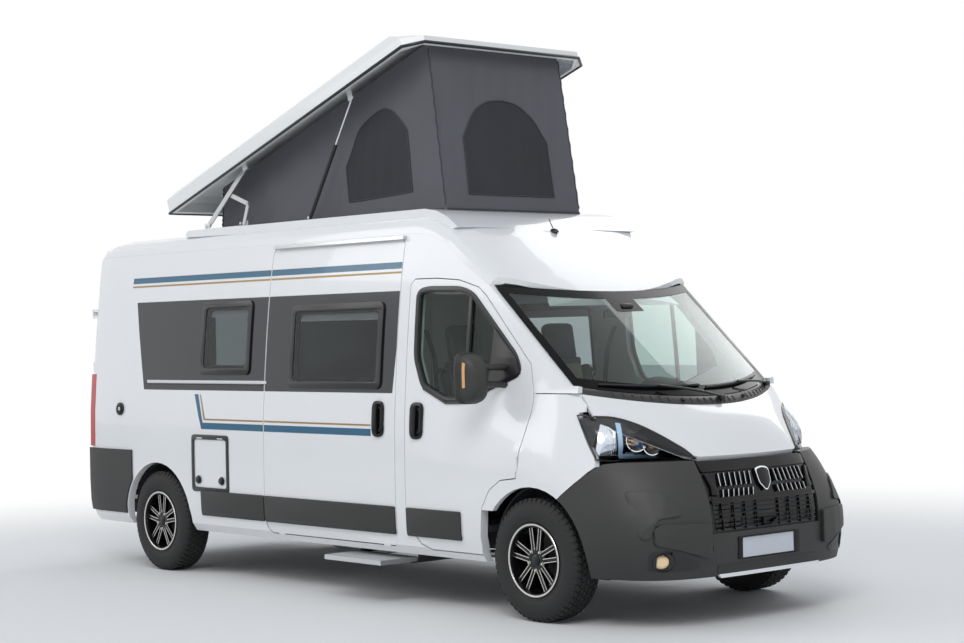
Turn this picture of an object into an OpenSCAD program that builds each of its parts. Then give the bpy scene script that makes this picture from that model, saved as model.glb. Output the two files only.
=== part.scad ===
// Camper van on a long-wheelbase panel van body, with a front-high pop-up roof.
// +X is forward, +Y is the van's left, +Z is up. Sizes are in millimetres.
// The origin is under the middle of the van, on the road.

/* [Body] */
// Length over the bumpers
body_len = 5998; // [5400:1:6400]
// Width over the widest part of the side walls
body_w = 2050; // [1950:1:2150]
// Height of the joint between side wall and roof
joint_z = 2345; // [2250:1:2450]
// Rise of the roof crown over that joint
crown = 152; // [120:1:220]
// Bottom edge of the sills
sill_z = 320; // [280:1:360]
// Top of the load floor
floor_z = 540; // [500:1:580]
// Thickness of the side walls and doors
wall_t = 52; // [40:1:65]
// Thickness of the floor pan
floor_t = 40; // [25:1:60]
// Gap round each door and lid
seam = 6; // [5:0.5:9]

/* [Running gear] */
// Distance between the axles
wheelbase = 4035; // [3450:1:4200]
// Bumper to front axle
front_over = 948; // [900:1:1000]
// Distance between the centres of two wheels on one axle
track = 1800; // [1740:1:1820]
// Outside radius of the tyres
tyre_r = 365; // [340:1:375]
// Width of the tyres
tyre_w = 225; // [205:1:235]
// Radius of the rim's outer lip
rim_r = 220; // [205:1:230]
// Radius of the wheel arches
arch_r = 432; // [420:1:450]

/* [Doors] */
// Rear edge of the cab door
cab_door_x = 905; // [860:1:950]
// Front edge of the cab door
cab_door_front = 1988; // [1940:1:2010]
// Rear edge of the sliding door
slide_x0 = -622; // [-720:1:-560]
// Front edge of the sliding door
slide_x1 = 800; // [740:1:820]
// Bottom edge of the doors
door_z0 = 366; // [350:1:400]
// Width of the sliding door's window
slide_win_w = 970; // [700:1:1050]
// Height of the sliding door's window
slide_win_h = 540; // [400:1:580]
// Width of the rear side window
side_win_w = 590; // [450:1:650]
// Height of the rear side window
side_win_h = 500; // [350:1:540]

/* [Pop-up roof] */
// Length of the roof shell
shell_len = 3017; // [2800:1:3050]
// Width of the roof shell
shell_w = 1628; // [1500:1:1700]
// Height of the shell's rear edge
shell_h = 155; // [120:1:170]
// Tilt of the open shell
open_deg = 18.3; // [14:0.1:18.5]
// Length of the lift arms
arm_len = 634; // [600:1:660]
// Slope of the open lift arms
arm_deg = 39; // [34:0.5:42]
// Width of the canvas at the roof
tent_w = 1200; // [1000:1:1240]

/* [Hidden] */

half_w = body_w / 2;
x_front = body_len / 2;
x_rear = -body_len / 2;
axle_f = x_front - front_over;
axle_r = axle_f - wheelbase;
body_end = x_rear + 55;
floor_half = half_w - 22 - wall_t - 4;

// Half width of the body at a height, taken inward from the widest place
side_in = [[320, 60], [375, 22], [480, 6], [640, 0], [900, 0], [1150, 4], [1350, 17],
  [1550, 33], [1750, 51], [1950, 73], [2100, 92], [2230, 113], [2345, 138]];
// How far the cab leans in at the foot of the windscreen, by height
lean = [[320, 0], [900, 0], [1000, 15], [1150, 70], [1338, 129], [1700, 145], [2000, 157], [2345, 157]];
function cab_c(x) = max(0, min(1.2, (x - cab_door_x) / 1417));
function rear_c(x) = x < x_rear + 300 ? pow((x_rear + 300 - x) / 300, 2) * 38 : 0;
function side_y(x, z) = half_w - lookup(z, side_in) - cab_c(x) * lookup(z, lean) - rear_c(x);

// The nose in plan view, as a rounded outline at each height
nose_tab = [[250, -14], [400, 0], [560, 0], [700, -12], [820, -38], [965, -99],
  [1090, -150], [1215, -225], [1338, -373]];
nose_pow = [[250, 4.2], [600, 4], [800, 3], [965, 2.4], [1338, 2.4]];
function nose_x(z) = x_front + lookup(z, nose_tab);
function nose_pt(z, a, d) =
  let (n = lookup(z, nose_pow), yw = side_y(axle_f, z) - d, xn = nose_x(z) - d - axle_f)
  [axle_f + xn * pow(max(cos(a), 0), 2 / n), yw * pow(max(sin(a), 0), 2 / n), z];

// Windscreen edge curves: header and foot
function head_x(y) = 1760 - 177 * pow(y / 847, 2);
function head_z(y) = 1952 + 47 * pow(y / 847, 2);
function foot_x(y) = 2552 - 290 * pow(y / 847, 2);
function foot_z(y) = 1306 + 79 * pow(y / 847, 2);
function cowl_x(y) = 2620 - 298 * pow(y / 849, 2);
function cowl_z(y) = 1250 + 88 * pow(y / 849, 2);

// Roof crown and joint line along the van
top_tab = [[x_rear + 40, -70], [x_rear + 150, -22], [x_rear + 400, 0], [900, 0], [1000, -17],
  [1100, -57], [1214, -127], [1400, -262], [1583, -402], [1700, -502], [1800, -597]];
join_tab = [[x_rear, 0], [905, 0], [1000, -10], [1150, -65], [1300, -175], [1450, -275],
  [1583, -360], [1700, -445], [1800, -515]];
function join_z(x) = joint_z + lookup(x, join_tab);
function top_z(x) = joint_z + crown + lookup(x, top_tab);
arch_shape = [[1, 0], [0.985, 0.32], [0.943, 0.62], [0.86, 0.79], [0.68, 0.91], [0.34, 0.98],
  [0, 1], [-0.34, 0.98], [-0.68, 0.91], [-0.86, 0.79], [-0.943, 0.62], [-0.985, 0.32], [-1, 0]];

// Solid through a row of closed rings
module loft(rings, flip = false) {
  n = len(rings[0]);
  m = len(rings);
  pts = [for (r = rings) for (p = r) p];
  caps = [[for (i = [0 : n - 1]) i], [for (i = [n - 1 : -1 : 0]) (m - 1) * n + i]];
  walls = [for (j = [0 : m - 2]) for (i = [0 : n - 1]) for (k = [0, 1])
    k == 0 ? [j * n + i, (j + 1) * n + i, (j + 1) * n + (i + 1) % n]
           : [j * n + i, (j + 1) * n + (i + 1) % n, j * n + (i + 1) % n]];
  all = concat(caps, walls);
  polyhedron(points = pts, convexity = 10,
    faces = flip ? [for (f = all) [for (i = [len(f) - 1 : -1 : 0]) f[i]]] : all);
}

// Box from a low corner to a high corner
module box(a, b) {
  translate(a) cube(b - a);
}

// Barrel hinge standing on end: ears with their pin, knuckle, and the room each needs
pin_r = 3;
knuckle_r = 7;
module hinge_ears(p, h) {
  translate(p) {
    cylinder(r = pin_r, h = h + 28, $fn = 24);
    cylinder(r = knuckle_r, h = 14, $fn = 24);
    translate([0, 0, h + 14]) cylinder(r = knuckle_r, h = 14, $fn = 24);
  }
}

module hinge_knuckle(p, h) {
  translate(p) translate([0, 0, 14.4]) cylinder(r = knuckle_r, h = h - 0.8, $fn = 24);
}

module hinge_bore(p, h) {
  translate(p) translate([0, 0, 10]) cylinder(r = pin_r + 0.3, h = h + 8, $fn = 24);
}

module ear_room(p, h) {
  translate(p) {
    translate([0, 0, -1]) cylinder(r = knuckle_r + 2, h = 15.2, $fn = 24);
    translate([0, 0, h + 13.8]) cylinder(r = knuckle_r + 2, h = 15.2, $fn = 24);
  }
}

module knuckle_room(p, h) {
  translate(p) translate([0, 0, 13.6]) cylinder(r = knuckle_r + 2, h = h + 0.8, $fn = 24);
}

// Upright or lying rods
module rod_y(x, y0, y1, z, r) {
  translate([x, y0, z]) rotate([-90, 0, 0]) cylinder(r = r, h = y1 - y0, $fn = 40);
}

// Outline drawn in X and Z, pushed through along Y
module slab(pts, y0, y1) {
  translate([0, y1, 0]) rotate([90, 0, 0]) linear_extrude(y1 - y0) polygon(pts);
}

// Rounded rectangle in X and Z, pushed through along Y
module slab_round(x0, x1, z0, z1, r, y0, y1) {
  translate([0, y1, 0]) rotate([90, 0, 0]) linear_extrude(y1 - y0)
    rounded(x0, x1, z0, z1, r);
}

module rounded(x0, x1, z0, z1, r) {
  union() {
    translate([x0 + r, z0]) square([x1 - x0 - 2 * r, z1 - z0]);
    translate([x0, z0 + r]) square([x1 - x0, z1 - z0 - 2 * r]);
    for (x = [x0 + r, x1 - r])
      for (z = [z0 + r, z1 - r])
        translate([x, z]) circle(r = r, $fn = 32);
  }
}

// Side wall skin between two stations, on the left of the van
wall_zs = [320, 375, 480, 640, 900, 1000, 1150, 1350, 1550, 1750, 1950, 2100, 2230, 2345];
module wall(xs, t, zs) {
  loft([for (x = xs) concat(
    [for (z = zs) [x, side_y(x, z), z]],
    [for (i = [len(zs) - 1 : -1 : 0]) [x, side_y(x, zs[i]) - t, zs[i]]])]);
}

// Nose skin between two heights
module nose(zs, t, a1) {
  as = [for (i = [-12 : 12]) i * a1 / 12];
  loft([for (z = zs) concat(
    [for (a = as) let (p = nose_pt(z, abs(a), 0)) [p[0], a < 0 ? -p[1] : p[1], z]],
    [for (i = [len(as) - 1 : -1 : 0]) let (p = nose_pt(z, abs(as[i]), t))
      [p[0], as[i] < 0 ? -p[1] : p[1], z]])]);
}

// Space in front of the windscreen's inner face
module screen_front(d, w) {
  loft([for (i = [-8 : 8]) let (y = i * w / 8)
    [[head_x(y) - d * 0.66, y, head_z(y) - d * 0.75], [foot_x(y) - d * 0.66, y, foot_z(y) - d * 0.75],
     [foot_x(y) + 300, y, foot_z(y)], [foot_x(y) + 300, y, 2700], [head_x(y) + 2, y, 2700],
     [head_x(y) + 2, y, head_z(y) + 10]]], flip = true);
}

cab_zs = [door_z0 - 20, 480, 640, 900, 1000, 1150, 1350, 1550, 1750, 1950, 2060];
// Outline of the cab door, grown by g all round
door_hinge = [1939, 1027, 884];
wing_top = 1338;
function cab_door_pts(g) = [
  [cab_door_x - g, 640], [cab_door_x + 25, 520 - g], [cab_door_x + 110, 400 - g],
  [cab_door_x + 210, door_z0 - g], [1590 + g, door_z0 - g], [1618 + g, 650], [1690 + g, 765 - g * 0.5],
  [1790, 828 - g], [1925 + g, 845 - g], [1946 + g, 1010], [cab_door_front + g, 1225],
  [cab_door_front + g, 1300], [1943 + g, 1513 + g * 0.6], [1545 + g, 1932 + g], [1480, 1985 + g],
  [1314, 2035 + g], [1120, 2052 + g], [cab_door_x + 30, 2052 + g], [cab_door_x - g, 2020]];
cab_win_pts = [[977, 1975], [1060, 1992], [1330, 1985], [1435, 1950], [1830, 1560], [1868, 1460],
  [1400, 1292], [1270, 1290], [1060, 1378], [985, 1560]];

module arch(x, y0, y1) {
  rod_y(x, y0, y1, tyre_r, arch_r);
}

// Screw-free lid recess in the right wall
hatch_x0 = -1484;
hatch_x1 = -1077;
hatch_z0 = 640;
hatch_z1 = 990;
lamp_z0 = 892;
lamp_z1 = 1446;
slide_win_x = 160;
slide_win_z = 1641;
side_win_x = -1112;
side_win_z = 1708;

// One whole side wall, drawn on the left
module side_body(right) {
  difference() {
    union() {
      wall([body_end + 5, body_end + 60, body_end + 140, body_end + 300, 0, cab_door_x, 1100, 1300, 1500, 1583,
        1800, 2000, axle_f, 2322], wall_t, wall_zs);
      // ledge that meets the floor pan
      box([x_rear + 360, floor_half + 0.3, floor_z - 36], [cab_door_x - 12, floor_half + 44, floor_z - 6]);
    }
    // rear and front wheel arches
    arch(axle_r, 600, 1200);
    // cab door
    slab(cab_door_pts(seam), 600, 1200);
    // wing and nose region
    slab([[cab_door_front + seam, 200], [cab_door_front + seam, wing_top + seam], [2700, wing_top + seam],
      [2700, 200]], 600, 1200);
    box([1600, 600, 200], [2500, 1200, 1230]);
    // seat of the cowl's end
    box([2215, 600, 1300], [2340, 842, 1392]);
    // forehead over the joint line
    slab(concat([for (q = join_tab) [q[0], joint_z + q[1]]], [[2500, joint_z - 515], [2500, 2700],
      [x_rear, 2700]]), 600, 1200);
    screen_front(7, 1000);
    // tail lamp seat
    box([x_rear - 1, 880, lamp_z0 - 0.5], [body_end + 64.5, 1200, lamp_z1 + 0.5]);
    if (right) {
      // sliding door
      slab_round(slide_x0 - seam, slide_x1 + seam, door_z0 - seam, joint_z - 12, 70, 600, 1200);
      slab_round(side_win_x - side_win_w / 2, side_win_x + side_win_w / 2, side_win_z - side_win_h / 2,
        side_win_z + side_win_h / 2, 45, 600, 1200);
      slab_round(hatch_x0 - seam, hatch_x1 + seam, hatch_z0 - seam, hatch_z1 + seam, 26, 600, 1200);
      for (x = [hatch_x0 + 53.5, hatch_x1 - 94.5]) translate([x, hatch_hinge_y, hatch_z1 + 3])
        rotate([0, 90, 0]) cylinder(r = 7, h = 41, $fn = 24);
    } else {
      slab_round(side_win_x - side_win_w / 2, side_win_x + side_win_w / 2, side_win_z - side_win_h / 2,
        side_win_z + side_win_h / 2, 45, 600, 1200);
      slab_round(slide_win_x - slide_win_w / 2, slide_win_x + slide_win_w / 2, slide_win_z - slide_win_h / 2,
        slide_win_z + slide_win_h / 2, 60, 600, 1200);
    }
  }
}

// Straps that carry the rear door's hinge ears
module rear_ears() {
  for (z = rear_hinge_z) difference() {
    union() {
      hinge_ears([rear_hinge[0], rear_hinge[1], z], 40);
      for (d = [0, 54]) box([rear_hinge[0], z < 1600 ? 936 : 916, z + d], [body_end + 8, z < 1600 ? 944 : 940, z + d + 14]);
    }
  }
}

module side_left() {
  color("white") side_body(false);
  color("white") rear_ears();
}

// Slide rail and hatch hinge belong to the right wall
rail_z = 1395;
module side_right() {
  color("white") mirror([0, 1, 0]) side_body(true);
  color("white") mirror([0, 1, 0]) rear_ears();
  color("silver") mirror([0, 1, 0]) box([-2121, side_y(0, rail_z) - 6, rail_z - 11], [slide_x0 - seam - 8, side_y(0, rail_z) + 5, rail_z + 11]);
  color("silver") mirror([0, 1, 0]) for (x = [hatch_x0 + 40, hatch_x1 - 108])
    translate([x, hatch_hinge_y, hatch_z1 + 3]) rotate([0, 90, 0]) {
      cylinder(r = pin_r, h = 68, $fn = 24);
      cylinder(r = 5, h = 14, $fn = 24);
      translate([0, 0, 54]) cylinder(r = 5, h = 14, $fn = 24);
    }
}
hatch_hinge_y = half_w + 1;

// Roof skin with the sleeping-roof hole and the plastic frame round it
hole_x0 = -1350;
hole_x1 = 760;
hole_w = 1080;
frame_top = joint_z + crown + 10;
module roof() {
  xs = [body_end + 5, body_end + 60, body_end + 140, body_end + 300, 905, 1000, 1070, 1150, 1214, 1300, 1450, 1583, 1700, 1800];
  color("white") difference() {
    union() {
      loft([for (x = xs) let (yj = side_y(x, join_z(x)), zj = join_z(x) + 0.5, h = top_z(x) - join_z(x)) concat(
        [for (p = arch_shape) [x, p[0] * yj, zj + p[1] * h]],
        [for (i = [len(arch_shape) - 1 : -1 : 0])
          [x, arch_shape[i][0] * (yj - 45), zj + arch_shape[i][1] * (h - 38)]])]);
      // frame round the hole
      difference() {
        slab([[-1880, joint_z + crown - 40], [-1880, frame_top - 20], [-1850, frame_top],
          [760, frame_top], [880, frame_top], [1000, frame_top - 20], [1100, frame_top - 62],
          [1200, joint_z + 30], [1150, joint_z + 20], [1000, joint_z + crown - 70]], -800, 800);
        box([hole_x0 - 350, -hole_w / 2 - 30, 2300], [hole_x1 + 40, hole_w / 2 + 30, 2700]);
        loft([for (x = xs) let (yj = side_y(x, join_z(x)), zj = join_z(x) + 0.5, h = top_z(x) - join_z(x)) concat(
          [for (p = arch_shape) [x, p[0] * (yj - 45), zj + p[1] * (h - 38)]],
          [[x, -yj + 45, zj - 300], [x, yj - 45, zj - 300]])]);
      }
    }
    box([hole_x0, -hole_w / 2, 2300], [hole_x1, hole_w / 2, 2700]);
    screen_front(7, 1000);
  }
  // brackets and pins that carry the arms, the lower links and the gas struts
  color("silver") for (s = [0, 1]) mirror([0, s, 0]) {
    box([pin0[0] - 30, link_y + 10, frame_top - 2], [low_pin[0] + 30, link_y + 16, frame_top + 8]);
    box([pin0[0] - 30, link_y + 10, frame_top - 2], [pin0[0] + 30, link_y + 16, pin0[1] + 22]);
    rod_y(pin0[0], link_y - 2, link_y + 12, pin0[1], 6);
    box([low_pin[0] - 28, link_y - 28, frame_top - 2], [low_pin[0] + 28, link_y - 22, low_pin[1] + 20]);
    rod_y(low_pin[0], link_y - 24, link_y - 9, low_pin[1], 6);
    box([strut0[0] - 60, strut_y - 22, frame_top - 2], [strut0[0] + 60, strut_y + 22, strut0[1] - 13.9]);
  }
}

// Floor pan, sills, rails, wheel boxes and firewall
box_in = 711;
rail_y = 500;
module platform() {
  fw = floor_half;
  color("dimgray") difference() {
    union() {
      box([-2650, -fw, floor_z - floor_t], [axle_f - 440, fw, floor_z]);
      box([x_rear + 94, -fw + 32, floor_z - floor_t], [-2649, fw - 32, floor_z]);
      box([x_rear + 94, -fw + 130, sill_z + 60], [axle_f - 440, -fw + 200, floor_z - floor_t]);
      box([x_rear + 94, fw - 200, sill_z + 60], [axle_f - 440, fw - 130, floor_z - floor_t]);
      for (s = [-1, 1]) {
        box([x_rear + 94, s * rail_y - 40, floor_z - 150], [x_front - 181, s * rail_y + 40, floor_z - floor_t + 2]);
        // rear wheel boxes
        intersection() {
          rod_y(axle_r, s > 0 ? box_in : -fw, s > 0 ? fw : -box_in, tyre_r, arch_r + 14);
          box([axle_r - 500, -1100, floor_z - 125], [axle_r + 500, 1100, 900]);
        }
        // front wheel boxes
        intersection() {
          rod_y(axle_f, s > 0 ? 560 : -900, s > 0 ? 900 : -560, tyre_r, arch_r + 14);
          box([axle_f - 500, -1100, floor_z - 150], [axle_f + 500, 1100, 900]);
        }
      }
      // cab floor, firewall and front crossmembers
      box([axle_f - 441, -560, floor_z - floor_t], [axle_f + 100, 560, floor_z]);
      box([axle_f + 60, -880, floor_z - floor_t], [axle_f + 100, 880, 1225]);
      box([x_front - 262, -700, floor_z - 150], [x_front - 181, 700, floor_z - 20]);
      box([axle_f + 380, -540, floor_z - 150], [axle_f + 440, 540, floor_z - 60]);
      // runners of the entry step
      for (x = [step_x0 - 12, step_x1 + 2]) {
        box([x, -885, step_z - 8], [x + 10, -560, floor_z - floor_t + 1]);
        box([x - (x < 400 ? 0 : 24), -935, step_z - 8], [x + (x < 400 ? 34 : 10), -560, step_z - 0.5]);
      }
      // nut for the towing eye
      translate([x_front - 262, -rail_y, 450]) rotate([0, 90, 0]) cylinder(r = 24, h = 90, $fn = 40);
    }
    translate([x_front - 302, -rail_y, 450]) rotate([0, 90, 0]) cylinder(r = 9.25, h = 200, $fn = 40);
    rod_y(axle_r, -560, 560, tyre_r, 44);
    for (s = [-1, 1]) {
      rod_y(axle_r, s > 0 ? box_in + 14 : -1100, s > 0 ? 1100 : -box_in - 14, tyre_r, arch_r);
      rod_y(axle_f, s > 0 ? 574 : -1100, s > 0 ? 1100 : -574, tyre_r, arch_r);
    }
  }
  // suspension legs over the hub carriers
  color("dimgray") for (s = [-1, 1])
    translate([axle_f, s * king_y, tyre_r + 230.3]) cylinder(r = 25, h = arch_r - 228, $fn = 40);
}

// Front wings with the cowl and the slam panel between them
module front_wings() {
  color("white") {
    difference() {
      union() {
        for (s = [0, 1]) mirror([0, s, 0]) {
          // straight part behind the wheel centre
          wall([cab_door_front + seam - 390, cab_door_front + seam - 200, cab_door_front + seam, axle_f],
            34, [640, 700, 780, 900, 1000, 1150, 1230, wing_top]);
        }
        nose([600, 700, 800, 900, 965, 1030, 1090, 1150, 1215, 1280, wing_top], 34, 90);
      }
      for (s = [0, 1]) mirror([0, s, 0]) {
        arch(axle_f, 500, 1200);
        slab(cab_door_pts(seam), 500, 1200);
        slab([[1500, 500], [cab_door_front + seam - 380, 500], [1624, 650], [1696, 762], [1790, 822],
          [1931, 839], [1955, 1010], [cab_door_front + seam, 1225], [cab_door_front + seam, 1500], [1500, 1500]], 500, 1200);
        screen_front(7, 1000);
      }
      // bumper, headlamp and bonnet regions
      for (s = [0, 1]) mirror([0, s, 0]) knuckle_room(door_hinge, 60);
      slab([[2210, 300], [2210, 690], [2420, 850], [2505, 925], [2480, 985], [2430, 1060], [2338, 1212],
        [2338, 1232], [2368, 1236], [2368, 1345], [3100, 1345], [3100, 300]], -1200, 1200);
      box([2322, -851, 1190], [3100, 851, 1400]);
    }
    for (s = [0, 1]) mirror([0, s, 0]) hinge_ears(door_hinge, 60);
    // cowl across the foot of the windscreen
    loft([for (i = [-8 : 8]) let (y = i * 840 / 8)
      [[foot_x(y) - 30, y, foot_z(y) - 42], [foot_x(y) + 6, y, foot_z(y) - 14], [cowl_x(y) - 8, y, cowl_z(y) - 14],
       [cowl_x(y) - 8, y, cowl_z(y) - 60], [foot_x(y) - 30, y, foot_z(y) - 90]]]);
  }
}

// Bonnet top surface from its rear edge to the lamp and grille edge
function bon_fx(y) = abs(y) <= 463 ? 2898 - 59 * pow(y / 463, 2) : 2839 - (abs(y) - 463) * 454 / 422;
function bon_fz(y) = abs(y) <= 463 ? 968 : 968 + (abs(y) - 463) * 250 / 422;
module bonnet() {
  color("white") loft([for (i = [-12 : 12]) let (y = i * 845 / 12, b = 34 * (1 - pow(y / 900, 2)))
    concat([for (k = [0 : 4]) let (t = k / 4)
      [cowl_x(y) + 2 + (bon_fx(y) - cowl_x(y) - 2) * t, y,
       cowl_z(y) + (bon_fz(y) - cowl_z(y)) * t + b * 4 * t * (1 - t)]],
    [for (k = [4 : -1 : 0]) let (t = k / 4)
      [cowl_x(y) + 2 + (bon_fx(y) - cowl_x(y) - 2) * t - (k == 4 ? 18 : 0), y,
       cowl_z(y) + (bon_fz(y) - cowl_z(y)) * t + b * 4 * t * (1 - t) - 26]])], flip = true);
}

module windscreen() {
  color("lightblue") loft([for (i = [-10 : 10]) let (y = i * 843 / 10)
    [[head_x(y) + 6, y, head_z(y) - 4], [foot_x(y), y, foot_z(y)],
     [foot_x(y) - 4, y, foot_z(y) - 5], [head_x(y) + 2, y, head_z(y) - 9]]]);
}

bump_zs = [sill_z - 30, 360, 450, 540, 620, 700, 780, 860, 900, 965, 985];
mesh_hw = 478;
module front_bumper() {
  color("darkslategray") difference() {
    union() {
      nose(bump_zs, 60, 90);
      // horns that meet the rail ends
      for (s = [-1, 1]) box([x_front - 180.7, s * rail_y - 38, 400], [x_front - 50, s * rail_y + 38, 490]);
    }
    arch(axle_f, -1200, 1200);
    slab([[1900, 200], [2215, 200], [2215, 690], [2425, 842], [2512, 917], [2540, 940], [2600, 948],
      [2845, 948], [3100, 948], [3100, 1400], [1900, 1400]], -1200, 1200);
    box([2500, -mesh_hw, 535], [3100, mesh_hw, 1100]);
    box([x_front - 14, -262, 372], [x_front + 10, 262, 500]);
    translate([2700, -rail_y, 450]) rotate([0, 90, 0]) cylinder(r = 26, h = 400, $fn = 40);
    for (s = [-1, 1]) translate([2840, s * 790, 395]) rotate([0, 90, 0]) cylinder(r = 42, h = 300, $fn = 40);
  }
}

module grille() {
  color("black") difference() {
    translate([-12, 0, 0]) nose([535.3, 620, 700, 780, 860, 900, 941.6], 40, 90);
    box([1900, mesh_hw - 0.3, 400], [3100, 1200, 1300]);
    box([1900, -1200, 400], [3100, -mesh_hw + 0.3, 1300]);
    box([1900, -1200, 400], [2700, 1200, 1300]);
    for (k = [-2 : 2]) box([2600, k * 170 - 70, 560], [3100, k * 170 + 70, 610]);
    for (k = [-2 : 2]) box([2600, k * 170 - 70, 640], [3100, k * 170 + 70, 690]);
  }
}

module headlamps() {
  color("lightgray") difference() {
    translate([-3, 0, 0]) nose([958, 990, 1030, 1090, 1150, 1215, 1230], 90, 84);
    box([1900, -440, 900], [3100, 440, 1300]);
    slab([[1900, 900], [2516, 900], [2512, 940], [2488, 990], [2438, 1062], [2345, 1214], [2345, 1345], [1900, 1345]], -1200, 1200);
    // below: bumper edge, above: bonnet edge
    slab([[2300, 900], [3100, 900], [3100, 948.3], [2600, 948.3], [2540, 940.3], [2512, 917.3]], -1200, 1200);
    for (s = [0, 1]) mirror([0, s, 0]) loft([for (y = [300, 463, 700, 1100])
      [[bon_fx(y) - 300, y, bon_fz(y) - 36.6 + 165], [bon_fx(y) + 300, y, bon_fz(y) - 36.6 - 165],
       [bon_fx(y) + 300, y, 1600], [bon_fx(y) - 300, y, 1600]]], flip = true);
  }
}

module tail_lamps() {
  color("red") for (s = [0, 1]) mirror([0, s, 0]) difference() {
    wall([body_end - 40, body_end + 10, body_end + 64], 40, [lamp_z0, 1150, 1350, lamp_z1]);
    box([x_rear - 60, 0, 800], [body_end + 2, 940, 1500]);
  }
}

// Dark rear corners with the step between them
module rear_bumper() {
  color("darkslategray") {
    for (s = [0, 1]) mirror([0, s, 0]) {
      difference() {
        translate([0, 12, 0]) wall([x_rear + 20, body_end + 5, body_end + 60, body_end + 140, body_end + 300,
          axle_r - 250], 11.6, [400, 480, 640, 880]);
        rod_y(axle_r, 500, 1200, tyre_r, arch_r + 14);
        box([axle_r - 338, 500, 300], [axle_r, 1200, 1000]);
      }
      // post behind the lamp that closes the corner
      translate([x_rear + 21, 0, 0]) rotate([90, 0, 90]) linear_extrude(body_end + 4 - x_rear - 21)
        polygon([[930, 405], [978, 405], [988, 480], [996, 640], [998, 870], [930, 870]]);
    }
    difference() {
      box([x_rear, -900, 400], [x_rear + 93.7, 900, floor_z + 20]);
      box([x_rear - 10, -260, 430], [x_rear + 20, 260, 545]);
    }
    for (s = [-1, 1]) box([x_rear + 30, s * 915 - 35, 405], [body_end + 4, s * 915 + 35, 550]);
  }
}

// Cab door, drawn on the left
module cab_door() {
  difference() {
    wall([cab_door_x - 5, 1100, 1300, 1500, 1700, 1850, cab_door_front + 12], wall_t + 6, cab_zs);
    translate([0, 1200, 0]) rotate([90, 0, 0]) linear_extrude(700) difference() {
      translate([700, 100]) square([1600, 2300]);
      polygon(cab_door_pts(0));
    }
    slab(cab_win_pts, 500, 1200);
    ear_room(door_hinge, 60);
  }
  difference() {
    hinge_knuckle(door_hinge, 60);
    hinge_bore(door_hinge, 60);
  }
}

module front_door_left() {
  color("white") cab_door();
}

module front_door_right() {
  color("white") mirror([0, 1, 0]) cab_door();
}

module sliding_door() {
  color("white") mirror([0, 1, 0]) difference() {
    intersection() {
      wall([slide_x0 - 10, slide_x1 + 10], wall_t, [door_z0 - 20, 480, 640, 900, 1150, 1350, 1550, 1750, 1950, 2100, 2230, joint_z]);
      slab_round(slide_x0, slide_x1, door_z0, joint_z - 18, 64, 500, 1200);
    }
    slab_round(slide_win_x - slide_win_w / 2, slide_win_x + slide_win_w / 2, slide_win_z - slide_win_h / 2,
      slide_win_z + slide_win_h / 2, 60, 500, 1200);
  }
  // roller carriers: one behind the door in the rail, two on the sill
  color("silver") {
    box([slide_x0 - seam - 7.6, -side_y(0, rail_z) - 6, rail_z - 9], [slide_x0 + 20, -side_y(0, rail_z) - 1.2, rail_z + 9]);
    box([slide_x0 + 2, -side_y(0, rail_z) - 6, rail_z - 9], [slide_x0 + 20, -side_y(0, rail_z) + 10, rail_z + 9]);
    for (x = [slide_x0 + 120, slide_x1 - 160])
      box([x, -side_y(0, 400) + 12, door_z0 - seam + 0.3], [x + 60, -side_y(0, 400) + 34, door_z0 + 2]);
  }
}

rear_hinge = [x_rear + 6, 939];
rear_hinge_z = [1470, 1880];
// Rear door leaf, drawn on the left
module rear_leaf() {
  difference() {
    intersection() {
      box([x_rear + 6, 3, floor_z + 28], [x_rear + 52, 930, 2440]);
      loft([for (x = [x_rear, x_rear + 60]) [
        [x, 3, floor_z], [x, 930, floor_z], [x, 930, 1350], [x, 915, 1750], [x, 880, 2100], [x, 850, joint_z - 20],
        [x, 800, joint_z + 60], [x, 3, joint_z + 90]]]);
    }
    box([x_rear - 10, 170, 1420], [x_rear + 100, 760, 1960]);
    for (z = rear_hinge_z) ear_room([rear_hinge[0], rear_hinge[1], z], 40);
  }
  difference() {
    for (z = rear_hinge_z) {
      hinge_knuckle([rear_hinge[0], rear_hinge[1], z], 40);
      box([rear_hinge[0] - 2, 860, z + 18], [rear_hinge[0] + 6, rear_hinge[1], z + 50]);
    }
    for (z = rear_hinge_z) hinge_bore([rear_hinge[0], rear_hinge[1], z], 40);
  }
}

module rear_door_left() {
  color("white") rear_leaf();
}

module rear_door_right() {
  color("white") mirror([0, 1, 0]) rear_leaf();
}

mirror_y = 1254;
// Mirror head on its arm, drawn on the left
module door_mirror() {
  y0 = side_y(1745, 1262);
  color("black") {
    hull() {
      box([1650, mirror_y - 190, 1300], [1700, mirror_y, 1580]);
      box([1750, mirror_y - 170, 1330], [1790, mirror_y - 20, 1560]);
    }
    hull() {
      box([1745, y0 + 0.4, 1262], [1860, y0 + 10, 1330]);
      box([1720, mirror_y - 150, 1310], [1780, mirror_y - 130, 1350]);
    }
  }
}

module mirror_left() {
  door_mirror();
}

module mirror_right() {
  mirror([0, 1, 0]) door_mirror();
}

// Wheels
module tyre(x, y) {
  w = tyre_w / 2;
  color("black") translate([x, y, tyre_r]) rotate([90, 0, 0]) rotate_extrude($fn = 96)
    polygon([[rim_r - 12, -w + 22], [rim_r + 10, -w + 6], [rim_r + 60, -w], [tyre_r - 40, -w + 6],
      [tyre_r - 12, -w + 22], [tyre_r, -w + 45], [tyre_r, w - 45], [tyre_r - 12, w - 22], [tyre_r - 40, w - 6],
      [rim_r + 60, w], [rim_r + 10, w - 6], [rim_r - 12, w - 22]]);
}

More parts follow.
